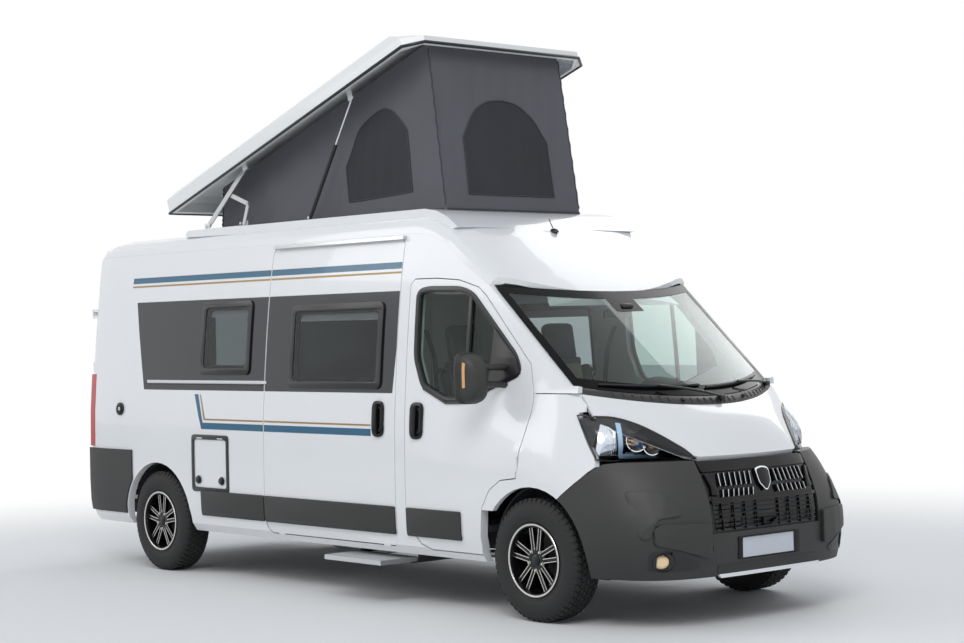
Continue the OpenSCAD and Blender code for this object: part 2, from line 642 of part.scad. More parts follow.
hub_face = 66;
module rim(x, y, s) {
  w = tyre_w / 2;
  color("silver") translate([x, y, tyre_r]) rotate([90, 0, 0]) scale([1, 1, 1]) mirror([0, 0, s > 0 ? 1 : 0]) {
    rotate_extrude($fn = 96) polygon([[rim_r - 12.3, -w + 20], [rim_r - 12.3, w - 20], [rim_r, w - 12], [rim_r, w - 4],
      [rim_r - 22, w - 4], [rim_r - 30, w - 30], [rim_r - 30, -w + 24], [rim_r - 20, -w + 20]]);
    difference() {
      union() {
        translate([0, 0, w - 60]) cylinder(r = 78, h = 34, $fn = 64);
        for (k = [0 : 4]) rotate([0, 0, 72 * k + 90]) for (m = [-1, 1])
          translate([0, 0, w - 56]) linear_extrude(28)
            polygon([[60, m * 6], [196, m * 26], [196, m * 54], [60, m * 34]]);
      }
      for (k = [0 : 4]) rotate([0, 0, 72 * k + 54]) translate([59, 0, w - 90]) cylinder(r = 9, h = 90, $fn = 32);
      translate([0, 0, w - 90]) cylinder(r = 33, h = 90, $fn = 48);
    }
  }
}

module tyre_front_right() { tyre(axle_f, -track / 2); }
module tyre_front_left() { tyre(axle_f, track / 2); }
module tyre_rear_right() { tyre(axle_r, -track / 2); }
module tyre_rear_left() { tyre(axle_r, track / 2); }
module rim_front_right() { rim(axle_f, -track / 2, -1); }
module rim_front_left() { rim(axle_f, track / 2, 1); }
module rim_rear_right() { rim(axle_r, -track / 2, -1); }
module rim_rear_left() { rim(axle_r, track / 2, 1); }

king_y = track / 2 - 148;
// Steered hub carrier, drawn on the left
module knuckle() {
  yc = track / 2;
  color("gray") {
    rod_y(axle_f, yc + tyre_w / 2 - 160, yc + tyre_w / 2 - 34, tyre_r, 32.5);
    rod_y(axle_f, yc - 60, yc - 35, tyre_r, 150);
    translate([axle_f, king_y, tyre_r - 111.7]) cylinder(r = 28, h = 341.7, $fn = 40);
    rod_y(axle_f, king_y, yc - 40, tyre_r, 50);
    box([axle_f - 130, king_y - 14, tyre_r - 40], [axle_f, king_y + 14, tyre_r - 10]);
  }
}

module knuckle_left() { knuckle(); }
module knuckle_right() { mirror([0, 1, 0]) knuckle(); }

module front_axle() {
  yk = king_y;
  color("gray") {
    box([axle_f - 180, -545, tyre_r - 150], [axle_f + 160, 545, tyre_r - 90]);
    for (s = [0, 1]) mirror([0, s, 0]) {
      hull() {
        translate([axle_f, yk, tyre_r - 150]) cylinder(r = 36, h = 38, $fn = 32);
        translate([axle_f - 60, 400, tyre_r - 150]) cylinder(r = 90, h = 38, $fn = 32);
      }
      box([axle_f - 60, rail_y - 60, tyre_r - 91], [axle_f + 60, rail_y + 20, floor_z - 150.3]);
    }
    rod_y(axle_f - 140, -620, 620, tyre_r - 74, 18);
  }
}

module rear_axle() {
  yc = track / 2;
  color("gray") {
    rod_y(axle_r, -yc - tyre_w / 2 + 34, yc + tyre_w / 2 - 34, tyre_r, 32.5);
    rod_y(axle_r, -yc + 140, yc - 140, tyre_r - 20, 45);
    for (s = [-1, 1]) {
      rod_y(axle_r, s * (yc - 50) - 14, s * (yc - 50) + 14, tyre_r, 140);
      box([axle_r - 650, s * rail_y - 30, tyre_r - 66], [axle_r + 650, s * rail_y + 30, tyre_r - 42]);
      for (k = [-1, 1]) box([axle_r + k * 620 - 25, s * rail_y - 25, tyre_r - 42], [axle_r + k * 620 + 25, s * rail_y + 25, floor_z - 150.3]);
    }
  }
}

module engine() {
  color("gray") box([axle_f + 130, -430, floor_z - 59.7], [axle_f + 130 + 520, 430, floor_z + 480]);
}

module dashboard() {
  color("black") difference() {
    union() {
      slab([[1720, 900], [1700, 1180], [1760, 1235], [2080, 1262], [axle_f + 59.7, 1180], [axle_f + 59.7, 900],
        [1950, 830], [1800, 830]], -860, 860);
      translate(wheel_at) rotate([0, -58, 0]) translate([0, 0, -260]) cylinder(r = 45, h = 195, $fn = 40);
    }
    for (s = [-1, 1]) rod_y(axle_f, s > 0 ? 550 : -1000, s > 0 ? 1000 : -550, tyre_r, arch_r + 20);
    box([1600, -885, 700], [1990, -300, 900]);
    translate(wheel_at) rotate([0, -58, 0]) translate([0, 0, -200]) cylinder(r = 26.5, h = 200, $fn = 40);
  }
}

wheel_at = [1560, 420, 1130];
module steering_wheel() {
  color("black") translate(wheel_at) rotate([0, -58, 0]) {
    rotate_extrude($fn = 72) translate([190, 0]) circle(r = 15, $fn = 24);
    translate([0, 0, -20]) cylinder(r = 60, h = 30, $fn = 48);
    for (a = [0, 120, 240]) rotate([0, 0, a + 90]) translate([40, -15, -10]) cube([145, 30, 16]);
    translate([0, 0, -190]) cylinder(r = 26, h = 175, $fn = 40);
  }
}

module seat(y) {
  translate([0, y, 0]) {
    box([1030, -200, floor_z], [1370, 200, 764]);
    hull() {
      box([1000, -240, 762], [1480, 240, 790]);
      box([1020, -225, 880], [1500, 225, 900]);
    }
    hull() {
      box([960, -235, 860], [1090, 235, 900]);
      box([800, -200, 1480], [880, 200, 1520]);
    }
    hull() {
      box([780, -120, 1512], [860, 120, 1560]);
      box([745, -90, 1740], [815, 90, 1760]);
    }
  }
}

module cab_seats() {
  color("gray") {
    seat(-430);
    seat(430);
  }
}

// Kitchen along the left wall, wardrobe and rear bunks
module furniture() {
  color("white") {
    box([-560, 480, floor_z], [640, 930, 1420]);
    box([-1000, 480, floor_z], [-559, 868, 2080]);
    difference() {
      box([-2900, -900, 1120], [-1010, 900, 1180]);
      box([-2400, -905, 1100], [-1500, -880, 1200]);
    }
    box([-2890, -690, floor_z], [-1020, -640, 1120]);
    box([-2890, 640, floor_z], [-1020, 690, 1120]);
  }
}

// Pop-up roof: everything is placed on the tilted shell plane through the arm pins
pin0 = [-1671, 2530];
pin1 = [pin0[0] + arm_len * cos(arm_deg), pin0[1] + arm_len * sin(arm_deg)];
s_rear = -936;
function shell_pt(s, t) = [pin1[0] + s * cos(open_deg) - t * sin(open_deg),
  pin1[1] + s * sin(open_deg) + t * cos(open_deg)];
module on_shell() {
  translate([pin1[0], 0, pin1[1]]) rotate([0, -open_deg, 0]) children();
}

module pop_roof() {
  s1 = s_rear + shell_len;
  hw = shell_w / 2;
  color("white") on_shell() difference() {
    union() {
      hull() {
        box([s_rear, -hw, 12], [s_rear + 60, hw, 120]);
        box([s_rear + 50, -hw + 60, 12], [s1 - 260, hw - 60, 12 + shell_h]);
        box([s1 - 60, -hw + 120, 12], [s1, hw - 120, 60]);
        box([s1 - 200, -hw, 12], [s1 - 100, hw, 70]);
      }
    }
    hull() {
      box([s_rear + 40, -hw + 40, 0], [s_rear + 60, hw - 40, 90]);
      box([s_rear + 80, -hw + 90, 0], [s1 - 280, hw - 90, shell_h - 26]);
      box([s1 - 120, -hw + 130, 0], [s1 - 40, hw - 130, 34]);
      box([s1 - 220, -hw + 40, 0], [s1 - 160, hw - 40, 44]);
    }
  }
  // lugs with the arm pins, and the ball lugs of the gas struts
  color("silver") on_shell() for (s = [0, 1]) mirror([0, s, 0]) {
    box([-26, link_y + 10, -20], [26, link_y + 16, 132]);
    rod_y(0, link_y - 2, link_y + 12, 0, 6);
    box([1244, strut_y + 17, -36], [1292, strut_y + 23, 132]);
  }
}

// Canvas walls between the roof frame and the shell
tent_t = 8;
tent_x0 = -1690;
tent_x1 = 868;
module tent() {
  hw = tent_w / 2;
  bot = frame_top + 0.5;
  p1 = shell_pt(1994, 48);
  p2 = shell_pt(1796, shell_h - 30);
  p3 = shell_pt(-560, shell_h - 30);
  color("gray") difference() {
    slab([[tent_x0, bot], [tent_x1, bot], p1, p2, p3], -hw, hw);
    slab([[tent_x0 + tent_t, bot - 30], [tent_x1 - tent_t + 3, bot - 30], p1 + [-tent_t - 6, 60], p3 + [-120, 60],
      [tent_x0 + tent_t, 2750]], -hw + tent_t, hw - tent_t);
  }
}

link_y = 735;
mid_pin = [pin0[0] + 346 * cos(arm_deg + 0.5), pin0[1] + 346 * sin(arm_deg + 0.5)];
low_pin = [-1237, 2530];
elbow = [-1179, 2672];
// Flat bar between two pins in X and Z
module bar(a, b, y0, y1, r, hole) {
  d = b - a;
  l = norm(d);
  translate([a[0], y1, a[1]]) rotate([0, -atan2(d[1], d[0]), 0]) rotate([90, 0, 0]) difference() {
    union() {
      cylinder(r = r, h = y1 - y0, $fn = 32);
      translate([l, 0, 0]) cylinder(r = r, h = y1 - y0, $fn = 32);
      translate([0, -r, 0]) cube([l, 2 * r, y1 - y0]);
    }
    if (hole > 0) {
      translate([0, 0, -1]) cylinder(r = hole, h = y1 - y0 + 2, $fn = 32);
      translate([l, 0, -1]) cylinder(r = hole, h = y1 - y0 + 2, $fn = 32);
    }
  }
}

module lift_arms() {
  color("silver") for (s = [0, 1]) mirror([0, s, 0])
    bar(pin0, pin1, link_y, link_y + 8, 20, 6.3);
  color("silver") for (s = [0, 1]) mirror([0, s, 0]) rod_y(mid_pin[0], link_y - 9, link_y + 2, mid_pin[1], 6);
}

module link_uppers() {
  color("silver") for (s = [0, 1]) mirror([0, s, 0])
    bar(mid_pin, elbow, link_y - 7, link_y - 1, 16, 6.3);
}

module link_lowers() {
  color("silver") for (s = [0, 1]) mirror([0, s, 0])
    bar(low_pin, elbow, link_y - 15, link_y - 9, 16, 6.3);
}

strut0 = [-470, 2528];
strut1 = shell_pt(1268, -15);
strut_y = 700;
strut_l = norm(strut1 - strut0);
module on_strut() {
  translate([strut0[0], strut_y, strut0[1]]) rotate([0, 90 - atan2(strut1[1] - strut0[1], strut1[0] - strut0[0]), 0]) children();
}

module strut_tubes() {
  color("black") for (s = [0, 1]) mirror([0, s, 0]) on_strut() difference() {
    union() {
      translate([0, 0, 10]) cylinder(r = 14, h = 560, $fn = 32);
      sphere(r = 13, $fn = 32);
    }
    translate([0, 0, 290]) cylinder(r = 7.4, h = 300, $fn = 32);
  }
}

module strut_rods() {
  color("silver") for (s = [0, 1]) mirror([0, s, 0]) on_strut() {
    translate([0, 0, 300 + 262]) cylinder(r = 7, h = strut_l - 562 - 10, $fn = 32);
    translate([0, 0, strut_l]) sphere(r = 12, $fn = 32);
  }
}

step_z = 262;
step_x0 = 265;
step_x1 = 845;
module entry_step() {
  color("silver") {
    difference() {
      box([step_x0, -1190, step_z], [step_x1, -890, step_z + 30]);
      box([300, -1160, step_z - 5], [810, -1000, step_z + 22]);
    }
    box([step_x0 + 20, -900, step_z], [step_x0 + 40, -640, step_z + 20]);
    box([step_x1 - 40, -900, step_z], [step_x1 - 20, -640, step_z + 20]);
  }
}

module service_hatch() {
  color("white") intersection() {
    translate([0, 2, 0]) mirror([0, 1, 0]) wall([hatch_x0 - 10, hatch_x1 + 10], 24, [hatch_z0 - 10, 900, hatch_z1 + 10]);
    slab_round(hatch_x0, hatch_x1, hatch_z0, hatch_z1, 22, -1200, -500);
  }
  color("white") mirror([0, 1, 0]) for (x = [hatch_x0 + 54.4, hatch_x1 - 93.6])
    translate([x, hatch_hinge_y, hatch_z1 + 3]) difference() {
      union() {
        rotate([0, 90, 0]) cylinder(r = 5, h = 39.2, $fn = 24);
        translate([0, -5, -12]) cube([39.2, 5, 9]);
      }
      translate([-1, 0, 0]) rotate([0, 90, 0]) cylinder(r = pin_r + 0.3, h = 42, $fn = 24);
    }
}

platform();
side_right();
side_left();
roof();
front_wings();
bonnet();
windscreen();
front_bumper();
grille();
headlamps();
tail_lamps();
rear_bumper();
front_door_right();
front_door_left();
sliding_door();
rear_door_right();
rear_door_left();
mirror_right();
mirror_left();
tyre_front_right();
tyre_front_left();
tyre_rear_right();
tyre_rear_left();
rim_front_right();
rim_front_left();
rim_rear_right();
rim_rear_left();
knuckle_right();
knuckle_left();
front_axle();
rear_axle();
engine();
dashboard();
steering_wheel();
cab_seats();
furniture();
pop_roof();
tent();
lift_arms();
link_uppers();
link_lowers();
strut_tubes();
strut_rods();
entry_step();
service_hatch();
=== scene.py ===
import math
import bpy
from mathutils import Matrix, Vector, geometry
from mathutils.bvhtree import BVHTree


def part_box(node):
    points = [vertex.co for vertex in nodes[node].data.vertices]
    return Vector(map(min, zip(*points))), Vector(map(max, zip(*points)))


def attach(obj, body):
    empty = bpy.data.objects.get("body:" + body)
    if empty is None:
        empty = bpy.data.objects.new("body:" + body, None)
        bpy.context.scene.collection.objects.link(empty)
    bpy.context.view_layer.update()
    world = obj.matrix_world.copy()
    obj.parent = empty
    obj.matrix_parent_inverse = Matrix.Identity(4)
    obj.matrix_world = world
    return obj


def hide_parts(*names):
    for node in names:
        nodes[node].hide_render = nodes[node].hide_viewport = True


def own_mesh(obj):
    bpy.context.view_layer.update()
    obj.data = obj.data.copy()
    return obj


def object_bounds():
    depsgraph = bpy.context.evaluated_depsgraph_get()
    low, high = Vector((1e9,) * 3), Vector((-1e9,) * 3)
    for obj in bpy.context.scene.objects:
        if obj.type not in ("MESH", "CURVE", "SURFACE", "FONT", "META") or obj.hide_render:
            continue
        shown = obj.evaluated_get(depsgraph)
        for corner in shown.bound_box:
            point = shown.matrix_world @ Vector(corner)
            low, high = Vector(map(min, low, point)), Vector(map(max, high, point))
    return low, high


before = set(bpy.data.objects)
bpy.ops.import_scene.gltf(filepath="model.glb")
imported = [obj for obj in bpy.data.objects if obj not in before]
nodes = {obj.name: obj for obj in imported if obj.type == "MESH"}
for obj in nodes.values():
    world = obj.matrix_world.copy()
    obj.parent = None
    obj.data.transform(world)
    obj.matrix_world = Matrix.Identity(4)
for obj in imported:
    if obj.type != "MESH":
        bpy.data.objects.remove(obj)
cad_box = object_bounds()
bpy.ops.object.select_all(action="DESELECT")


# ---------------------------------------------------------------- camera, floor and studio light
# The van is seen from its front right corner, from a standing person's eye height and some twelve
# metres off. It stands on a plain pale floor that fades to white, under three large soft lamps.
camera_data = bpy.data.cameras.new("camera")
camera_data.lens = 73.57
camera_data.sensor_width = 36.0
camera_data.clip_end = 200.0
camera = bpy.data.objects.new("camera", camera_data)
bpy.context.scene.collection.objects.link(camera)
bpy.context.scene.camera = camera
eye = Vector((10.509, -8.904, 1.718))
yaw, pitch, roll = (math.radians(a) for a in (138.313, 0.278, -1.192))
ahead = Vector((math.cos(yaw) * math.cos(pitch), math.sin(yaw) * math.cos(pitch), math.sin(pitch)))
level_right = ahead.cross(Vector((0, 0, 1))).normalized()
level_up = level_right.cross(ahead)
right = math.cos(roll) * level_right + math.sin(roll) * level_up
up = math.cos(roll) * level_up - math.sin(roll) * level_right
camera.matrix_world = Matrix.Translation(eye) @ Matrix((right, up, -ahead)).transposed().to_4x4()

FADE_START, FADE_END = 4.0, 9.0
bpy.ops.mesh.primitive_plane_add(size=120, location=(0, 0, 0))
floor = bpy.context.object
floor.name = "floor"
pale_floor = bpy.data.materials.new("pale_floor")
pale_floor.use_nodes = True
wiring = pale_floor.node_tree
matt = wiring.nodes["Principled BSDF"]
matt.inputs["Base Color"].default_value = (0.88, 0.88, 0.875, 1)
matt.inputs["Roughness"].default_value = 0.8
ground = wiring.nodes.new("ShaderNodeTexCoord")
distance = wiring.nodes.new("ShaderNodeVectorMath")
distance.operation = "LENGTH"
wiring.links.new(ground.outputs["Object"], distance.inputs[0])
fade = wiring.nodes.new("ShaderNodeMapRange")
fade.interpolation_type = "SMOOTHSTEP"
fade.inputs["From Min"].default_value = FADE_START
fade.inputs["From Max"].default_value = FADE_END
wiring.links.new(distance.outputs["Value"], fade.inputs["Value"])
looked_at = wiring.nodes.new("ShaderNodeLightPath")
share = wiring.nodes.new("ShaderNodeMath")
share.operation = "MULTIPLY"
wiring.links.new(fade.outputs["Result"], share.inputs[0])
wiring.links.new(looked_at.outputs["Is Camera Ray"], share.inputs[1])
glow = wiring.nodes.new("ShaderNodeEmission")
blended = wiring.nodes.new("ShaderNodeMixShader")
wiring.links.new(share.outputs["Value"], blended.inputs["Fac"])
wiring.links.new(matt.outputs["BSDF"], blended.inputs[1])
wiring.links.new(glow.outputs["Emission"], blended.inputs[2])
wiring.links.new(blended.outputs["Shader"], wiring.nodes["Material Output"].inputs["Surface"])
floor.data.materials.append(pale_floor)

world = bpy.data.worlds.new("studio")
bpy.context.scene.world = world
world.use_nodes = True
air = world.node_tree
sky = air.nodes["Background"]
sky.inputs["Color"].default_value = (0.86, 0.92, 1.0, 1)
sky.inputs["Strength"].default_value = 0.5
backdrop = air.nodes.new("ShaderNodeBackground")
backdrop.inputs["Color"].default_value = (1, 1, 1, 1)
seen = air.nodes.new("ShaderNodeLightPath")
chosen = air.nodes.new("ShaderNodeMixShader")
kinds_of_ray = seen.outputs["Is Camera Ray"]
for kind in ("Is Transmission Ray", "Is Glossy Ray"):
    either = air.nodes.new("ShaderNodeMath")
    either.operation = "MAXIMUM"
    air.links.new(kinds_of_ray, either.inputs[0])
    air.links.new(seen.outputs[kind], either.inputs[1])
    kinds_of_ray = either.outputs["Value"]
air.links.new(kinds_of_ray, chosen.inputs["Fac"])
air.links.new(sky.outputs["Background"], chosen.inputs[1])
air.links.new(backdrop.outputs["Background"], chosen.inputs[2])
air.links.new(chosen.outputs["Shader"], air.nodes["World Output"].inputs["Surface"])
bpy.context.scene.view_settings.view_transform = "Standard"

for name, place, aim, size, power in (
        ("key_lamp", (9, -9, 11), (0, 0, 1.2), 7, 760),
        ("side_lamp", (-8, -10, 8), (-1, 0, 1.2), 7, 305),
        ("far_lamp", (-3, 11, 9), (0, 0, 1.5), 8, 350)):
    lamp_data = bpy.data.lights.new(name, "AREA")
    lamp_data.size = size
    lamp_data.energy = power
    lamp = bpy.data.objects.new(name, lamp_data)
    lamp.location = place
    lamp.rotation_euler = (Vector(aim) - Vector(place)).to_track_quat("-Z", "Y").to_euler()
    bpy.context.scene.collection.objects.link(lamp)


# ---------------------------------------------------------------- painted steel body
# The body is pressed steel sheet in gloss white, welded into sides, roof and wings, with doors and
# bonnet hung on hinges. Clear lacquer gives it a hard shine with a very slight ripple.
WELD_GAP = 0.00002
SHARP_EDGE = math.radians(24)
for node in nodes.values():
    bpy.context.view_layer.objects.active = node
    bpy.ops.mesh.customdata_custom_splitnormals_clear()
    for face in node.data.polygons:
        face.use_smooth = True
    joined = node.modifiers.new("joined", "WELD")
    joined.merge_threshold = WELD_GAP
    crease = node.modifiers.new("crease", "EDGE_SPLIT")
    crease.split_angle = SHARP_EDGE


def fine_grain_group():
    """Shared effect: fine grain for bump, and a broad slow drift for shade and gloss."""
    group = bpy.data.node_groups.new("fine_grain", "ShaderNodeTree")
    for socket, kind in (("Vector", "NodeSocketVector"), ("Scale", "NodeSocketFloat")):
        group.interface.new_socket(name=socket, in_out="INPUT", socket_type=kind)
    for socket in ("Grain", "Drift"):
        group.interface.new_socket(name=socket, in_out="OUTPUT", socket_type="NodeSocketFloat")
    enter = group.nodes.new("NodeGroupInput")
    leave = group.nodes.new("NodeGroupOutput")
    grain = group.nodes.new("ShaderNodeTexNoise")
    grain.inputs["Detail"].default_value = 4
    drift = group.nodes.new("ShaderNodeTexNoise")
    drift.inputs["Scale"].default_value = 2.2
    drift.inputs["Detail"].default_value = 3
    group.links.new(enter.outputs["Vector"], grain.inputs["Vector"])
    group.links.new(enter.outputs["Vector"], drift.inputs["Vector"])
    group.links.new(enter.outputs["Scale"], grain.inputs["Scale"])
    group.links.new(grain.outputs["Fac"], leave.inputs["Grain"])
    group.links.new(drift.outputs["Fac"], leave.inputs["Drift"])
    return group


fine_grain = fine_grain_group()


def finish(name, colour, rough, metal=0.0, coat=0.0, grain=300.0, bump=0.0, vary=0.04, drift=0.06, shine=0.5):
    """A surface whose shade and gloss drift a little, with a fine grain in its bump."""
    material = bpy.data.materials.new(name)
    material.use_nodes = True
    tree = material.node_tree
    shader = tree.nodes["Principled BSDF"]
    shader.inputs["Metallic"].default_value = metal
    shader.inputs["Coat Weight"].default_value = coat
    shader.inputs["Specular IOR Level"].default_value = shine
    place = tree.nodes.new("ShaderNodeTexCoord")
    effect = tree.nodes.new("ShaderNodeGroup")
    effect.node_tree = fine_grain
    effect.inputs["Scale"].default_value = grain
    tree.links.new(place.outputs["Object"], effect.inputs["Vector"])
    shade = tree.nodes.new("ShaderNodeMix")
    shade.data_type = "RGBA"
    shade.inputs["A"].default_value = (*(c * (1 - vary) for c in colour), 1)
    shade.inputs["B"].default_value = (*(min(1, c * (1 + vary)) for c in colour), 1)
    tree.links.new(effect.outputs["Drift"], shade.inputs["Factor"])
    tree.links.new(shade.outputs["Result"], shader.inputs["Base Color"])
    gloss = tree.nodes.new("ShaderNodeMapRange")
    gloss.inputs["To Min"].default_value = max(0.02, rough - drift)
    gloss.inputs["To Max"].default_value = min(1, rough + drift)
    tree.links.new(effect.outputs["Drift"], gloss.inputs["Value"])
    tree.links.new(gloss.outputs["Result"], shader.inputs["Roughness"])
    if bump:
        relief = tree.nodes.new("ShaderNodeBump")
        relief.inputs["Strength"].default_value = 0.6
        relief.inputs["Distance"].default_value = bump
        tree.links.new(effect.outputs["Grain"], relief.inputs["Height"])
        tree.links.new(relief.outputs["Normal"], shader.inputs["Normal"])
    return material


def coat_node(material, *names):
    """Puts one material all over each CAD node."""
    for name in names:
        slots = nodes[name].data.materials
        slots.clear()
        slots.append(material)
        for face in nodes[name].data.polygons:
            face.material_index = 0


white_paint = finish("white_paint", (0.83, 0.84, 0.85), 0.22, coat=0.7, grain=55, bump=0.00012, vary=0.015)
coat_node(white_paint, "side_right", "side_left", "roof", "front_wings", "bonnet", "front_door_right",
          "front_door_left", "sliding_door", "rear_door_right", "rear_door_left", "service_hatch")
white_shell = finish("white_shell", (0.82, 0.83, 0.83), 0.33, coat=0.3, grain=80, bump=0.0002, vary=0.02)
coat_node(white_shell, "pop_roof")
dark_steel = finish("dark_coated_steel", (0.035, 0.036, 0.04), 0.55, grain=260, bump=0.0003, vary=0.25)
coat_node(dark_steel, "platform", "front_axle", "rear_axle", "knuckle_right", "knuckle_left", "engine")
grained_black = finish("grained_black_plastic", (0.026, 0.026, 0.025), 0.5, grain=700, bump=0.0002, vary=0.15)
coat_node(grained_black, "front_bumper", "rear_bumper", "mirror_right", "mirror_left", "dashboard")
gloss_black = finish("gloss_black", (0.005, 0.005, 0.006), 0.1, grain=90, bump=0.00005, vary=0.2, shine=0.3)
coat_node(gloss_black, "grille", "steering_wheel")
galvanised = finish("galvanised_steel", (0.55, 0.56, 0.57), 0.38, metal=0.9, grain=120, bump=0.0002, vary=0.2)
coat_node(galvanised, "lift_arms", "link_uppers", "link_lowers")
chrome = finish("polished_chrome", (0.8, 0.81, 0.83), 0.1, metal=1.0, grain=60, bump=0.00003, vary=0.03)
coat_node(chrome, "strut_rods")
satin_black = finish("satin_black_paint", (0.012, 0.012, 0.013), 0.35, grain=200, bump=0.0001, vary=0.2)
coat_node(satin_black, "strut_tubes")
brushed_aluminium = finish("brushed_aluminium", (0.62, 0.63, 0.64), 0.33, metal=0.95, grain=500, bump=0.0001)
coat_node(brushed_aluminium, "entry_step")
tyre_rubber = finish("tyre_rubber", (0.012, 0.012, 0.0125), 0.72, grain=900, bump=0.0004, vary=0.3)
coat_node(tyre_rubber, *(n for n in nodes if n.startswith("tyre_")))
wheel_black = finish("wheel_gloss_black", (0.006, 0.006, 0.007), 0.14, grain=90, bump=0.00004, shine=0.4)
coat_node(wheel_black, *(n for n in nodes if n.startswith("rim_")))
pale_board = finish("pale_board", (0.76, 0.75, 0.72), 0.42, grain=40, bump=0.0001, vary=0.04)
coat_node(pale_board, "furniture")
seat_cloth_dark = finish("seat_cloth_dark", (0.045, 0.05, 0.055), 0.85, grain=900, bump=0.0005, vary=0.2)
coat_node(seat_cloth_dark, "cab_seats")
canvas = finish("tent_canvas", (0.11, 0.112, 0.125), 0.9, grain=1200, bump=0.0004, vary=0.12)
coat_node(canvas, "tent")


# ---------------------------------------------------------------- vinyl panels and stripes on the sides
# Printed vinyl film stuck to the painted sides: black fields round the windows, a petrol blue
# stripe with a bronze line high up, and one that starts at the slide rail and runs low.
MIRROR_REACH = 0.229
HALF_WIDTH = (cad_box[1].y - cad_box[0].y) / 2 - MIRROR_REACH
DOOR_SEAM_REAR, DOOR_SEAM_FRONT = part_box("sliding_door")[0].x + 0.014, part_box("sliding_door")[1].x
WALL_EDGE, DOOR_EDGE = DOOR_SEAM_REAR - 0.009, DOOR_SEAM_REAR + 0.003
SIDE_TUCK = ((0.320, 0.060), (0.375, 0.022), (0.480, 0.006), (0.640, 0.0), (0.900, 0.0), (1.150, 0.004),
             (1.350, 0.017), (1.550, 0.033), (1.750, 0.051), (1.950, 0.073), (2.100, 0.092), (2.230, 0.113),
             (2.345, 0.138))
CAB_LEAN = ((0.320, 0.0), (0.900, 0.0), (1.000, 0.015), (1.150, 0.070), (1.338, 0.129), (1.700, 0.145),
            (2.000, 0.157), (2.345, 0.157))
REAR_STATIONS = tuple(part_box("side_right")[0].x + d for d in (0.061, 0.116, 0.196, 0.356))


def along(table, value):
    """Straight-line reading of a table."""
    for (a, low), (b, high) in zip(table, table[1:]):
        if value <= b:
            return low + (high - low) * max(0.0, value - a) / (b - a)
    return table[-1][1]


def side_y(x, z):
    """Half width of the body's outer skin at a place on its side."""
    rear = [(s, 0.038 * (max(0.0, REAR_STATIONS[3] - s) / 0.3) ** 2) for s in REAR_STATIONS]
    cab = max(0.0, min(1.2, (x - 0.905) / 1.417))
    return HALF_WIDTH - along(SIDE_TUCK, z) - cab * along(CAB_LEAN, z) - along(rear, x)


def select_only(piece):
    """Selects one piece and makes it the active one."""
    bpy.ops.object.select_all(action="DESELECT")
    piece.select_set(True)
    bpy.context.view_layer.objects.active = piece


def use(piece, kind, **settings):
    """Adds a modifier and applies it at once."""
    select_only(piece)
    modifier = piece.modifiers.new(kind.lower(), kind)
    for key, value in settings.items():
        setattr(modifier, key, value)
    bpy.ops.object.modifier_apply(modifier=modifier.name)
    return piece


def score(piece, cuts):
    """Cuts across the flat piece at each (axis, place), so that it can bend there."""
    select_only(piece)
    bpy.ops.object.mode_set(mode="EDIT")
    for axis, place in cuts:
        normal = [0, 0, 0]
        normal[axis] = 1
        bpy.ops.mesh.select_all(action="SELECT")
        bpy.ops.mesh.bisect(plane_co=[place * n for n in normal], plane_no=normal)
    bpy.ops.object.mode_set(mode="OBJECT")


def cut_sheet(name, outlines, cuts=()):
    """Flat piece in the X-Z plane, cut to its outline, with holes after the first."""
    data = bpy.data.curves.new(name, "CURVE")
    data.dimensions = "2D"
    data.fill_mode = "BOTH"
    for outline in outlines:
        spline = data.splines.new("POLY")
        spline.points.add(len(outline) - 1)
        for point, (x, z) in zip(spline.points, outline):
            point.co = (x, z, 0, 1)
        spline.use_cyclic_u = True
    piece = bpy.data.objects.new(name, data)
    bpy.context.scene.collection.objects.link(piece)
    select_only(piece)
    bpy.ops.object.convert(target="MESH")
    piece = bpy.context.object
    for vertex in piece.data.vertices:
        vertex.co = (vertex.co.x, 0, vertex.co.y)
    select_only(piece)
    bpy.ops.object.mode_set(mode="EDIT")
    bpy.ops.mesh.select_all(action="SELECT")
    bpy.ops.mesh.remove_doubles(threshold=0.00005)
    bpy.ops.object.mode_set(mode="OBJECT")
    score(piece, cuts)
    if piece.data.polygons and piece.data.polygons[0].normal.y > 0:
        piece.data.flip_normals()
    return piece


def rounded(points, radius, steps=5):
    """The outline with each corner eased by a short curve."""
    eased = []
    count = len(points)
    for i in range(count):
        corner = Vector(points[i])
        before, after = Vector(points[i - 1]), Vector(points[(i + 1) % count])
        a = corner + (before - corner) * min(0.48, radius / (before - corner).length)
        b = corner + (after - corner) * min(0.48, radius / (after - corner).length)
        for k in range(steps + 1):
            t = k / steps
            eased.append(tuple(a * (1 - t) ** 2 + corner * 2 * t * (1 - t) + b * t * t))
    return eased


def box_outline(x0, x1, z0, z1, radius=0.0, steps=5):
    """Four corners of a flat box, eased if a radius is given."""
    corners = [(x0, z0), (x1, z0), (x1, z1), (x0, z1)]
    return rounded(corners, radius, steps) if radius else corners


def give(piece, material, body="body", smooth=35):
    """Material, smooth shading, true origin, and the body that the piece rides on."""
    select_only(piece)
    bpy.ops.object.transform_apply(location=True, rotation=True, scale=True)
    piece.data.materials.clear()
    piece.data.materials.append(material)
    for face in piece.data.polygons:
        face.material_index = 0
    bpy.ops.object.shade_smooth_by_angle(angle=math.radians(smooth))
    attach(piece, body)
    return piece


side_cuts = [(2, z) for z, _ in SIDE_TUCK] + [(2, z) for z, _ in CAB_LEAN] + [(0, x) for x in REAR_STATIONS]


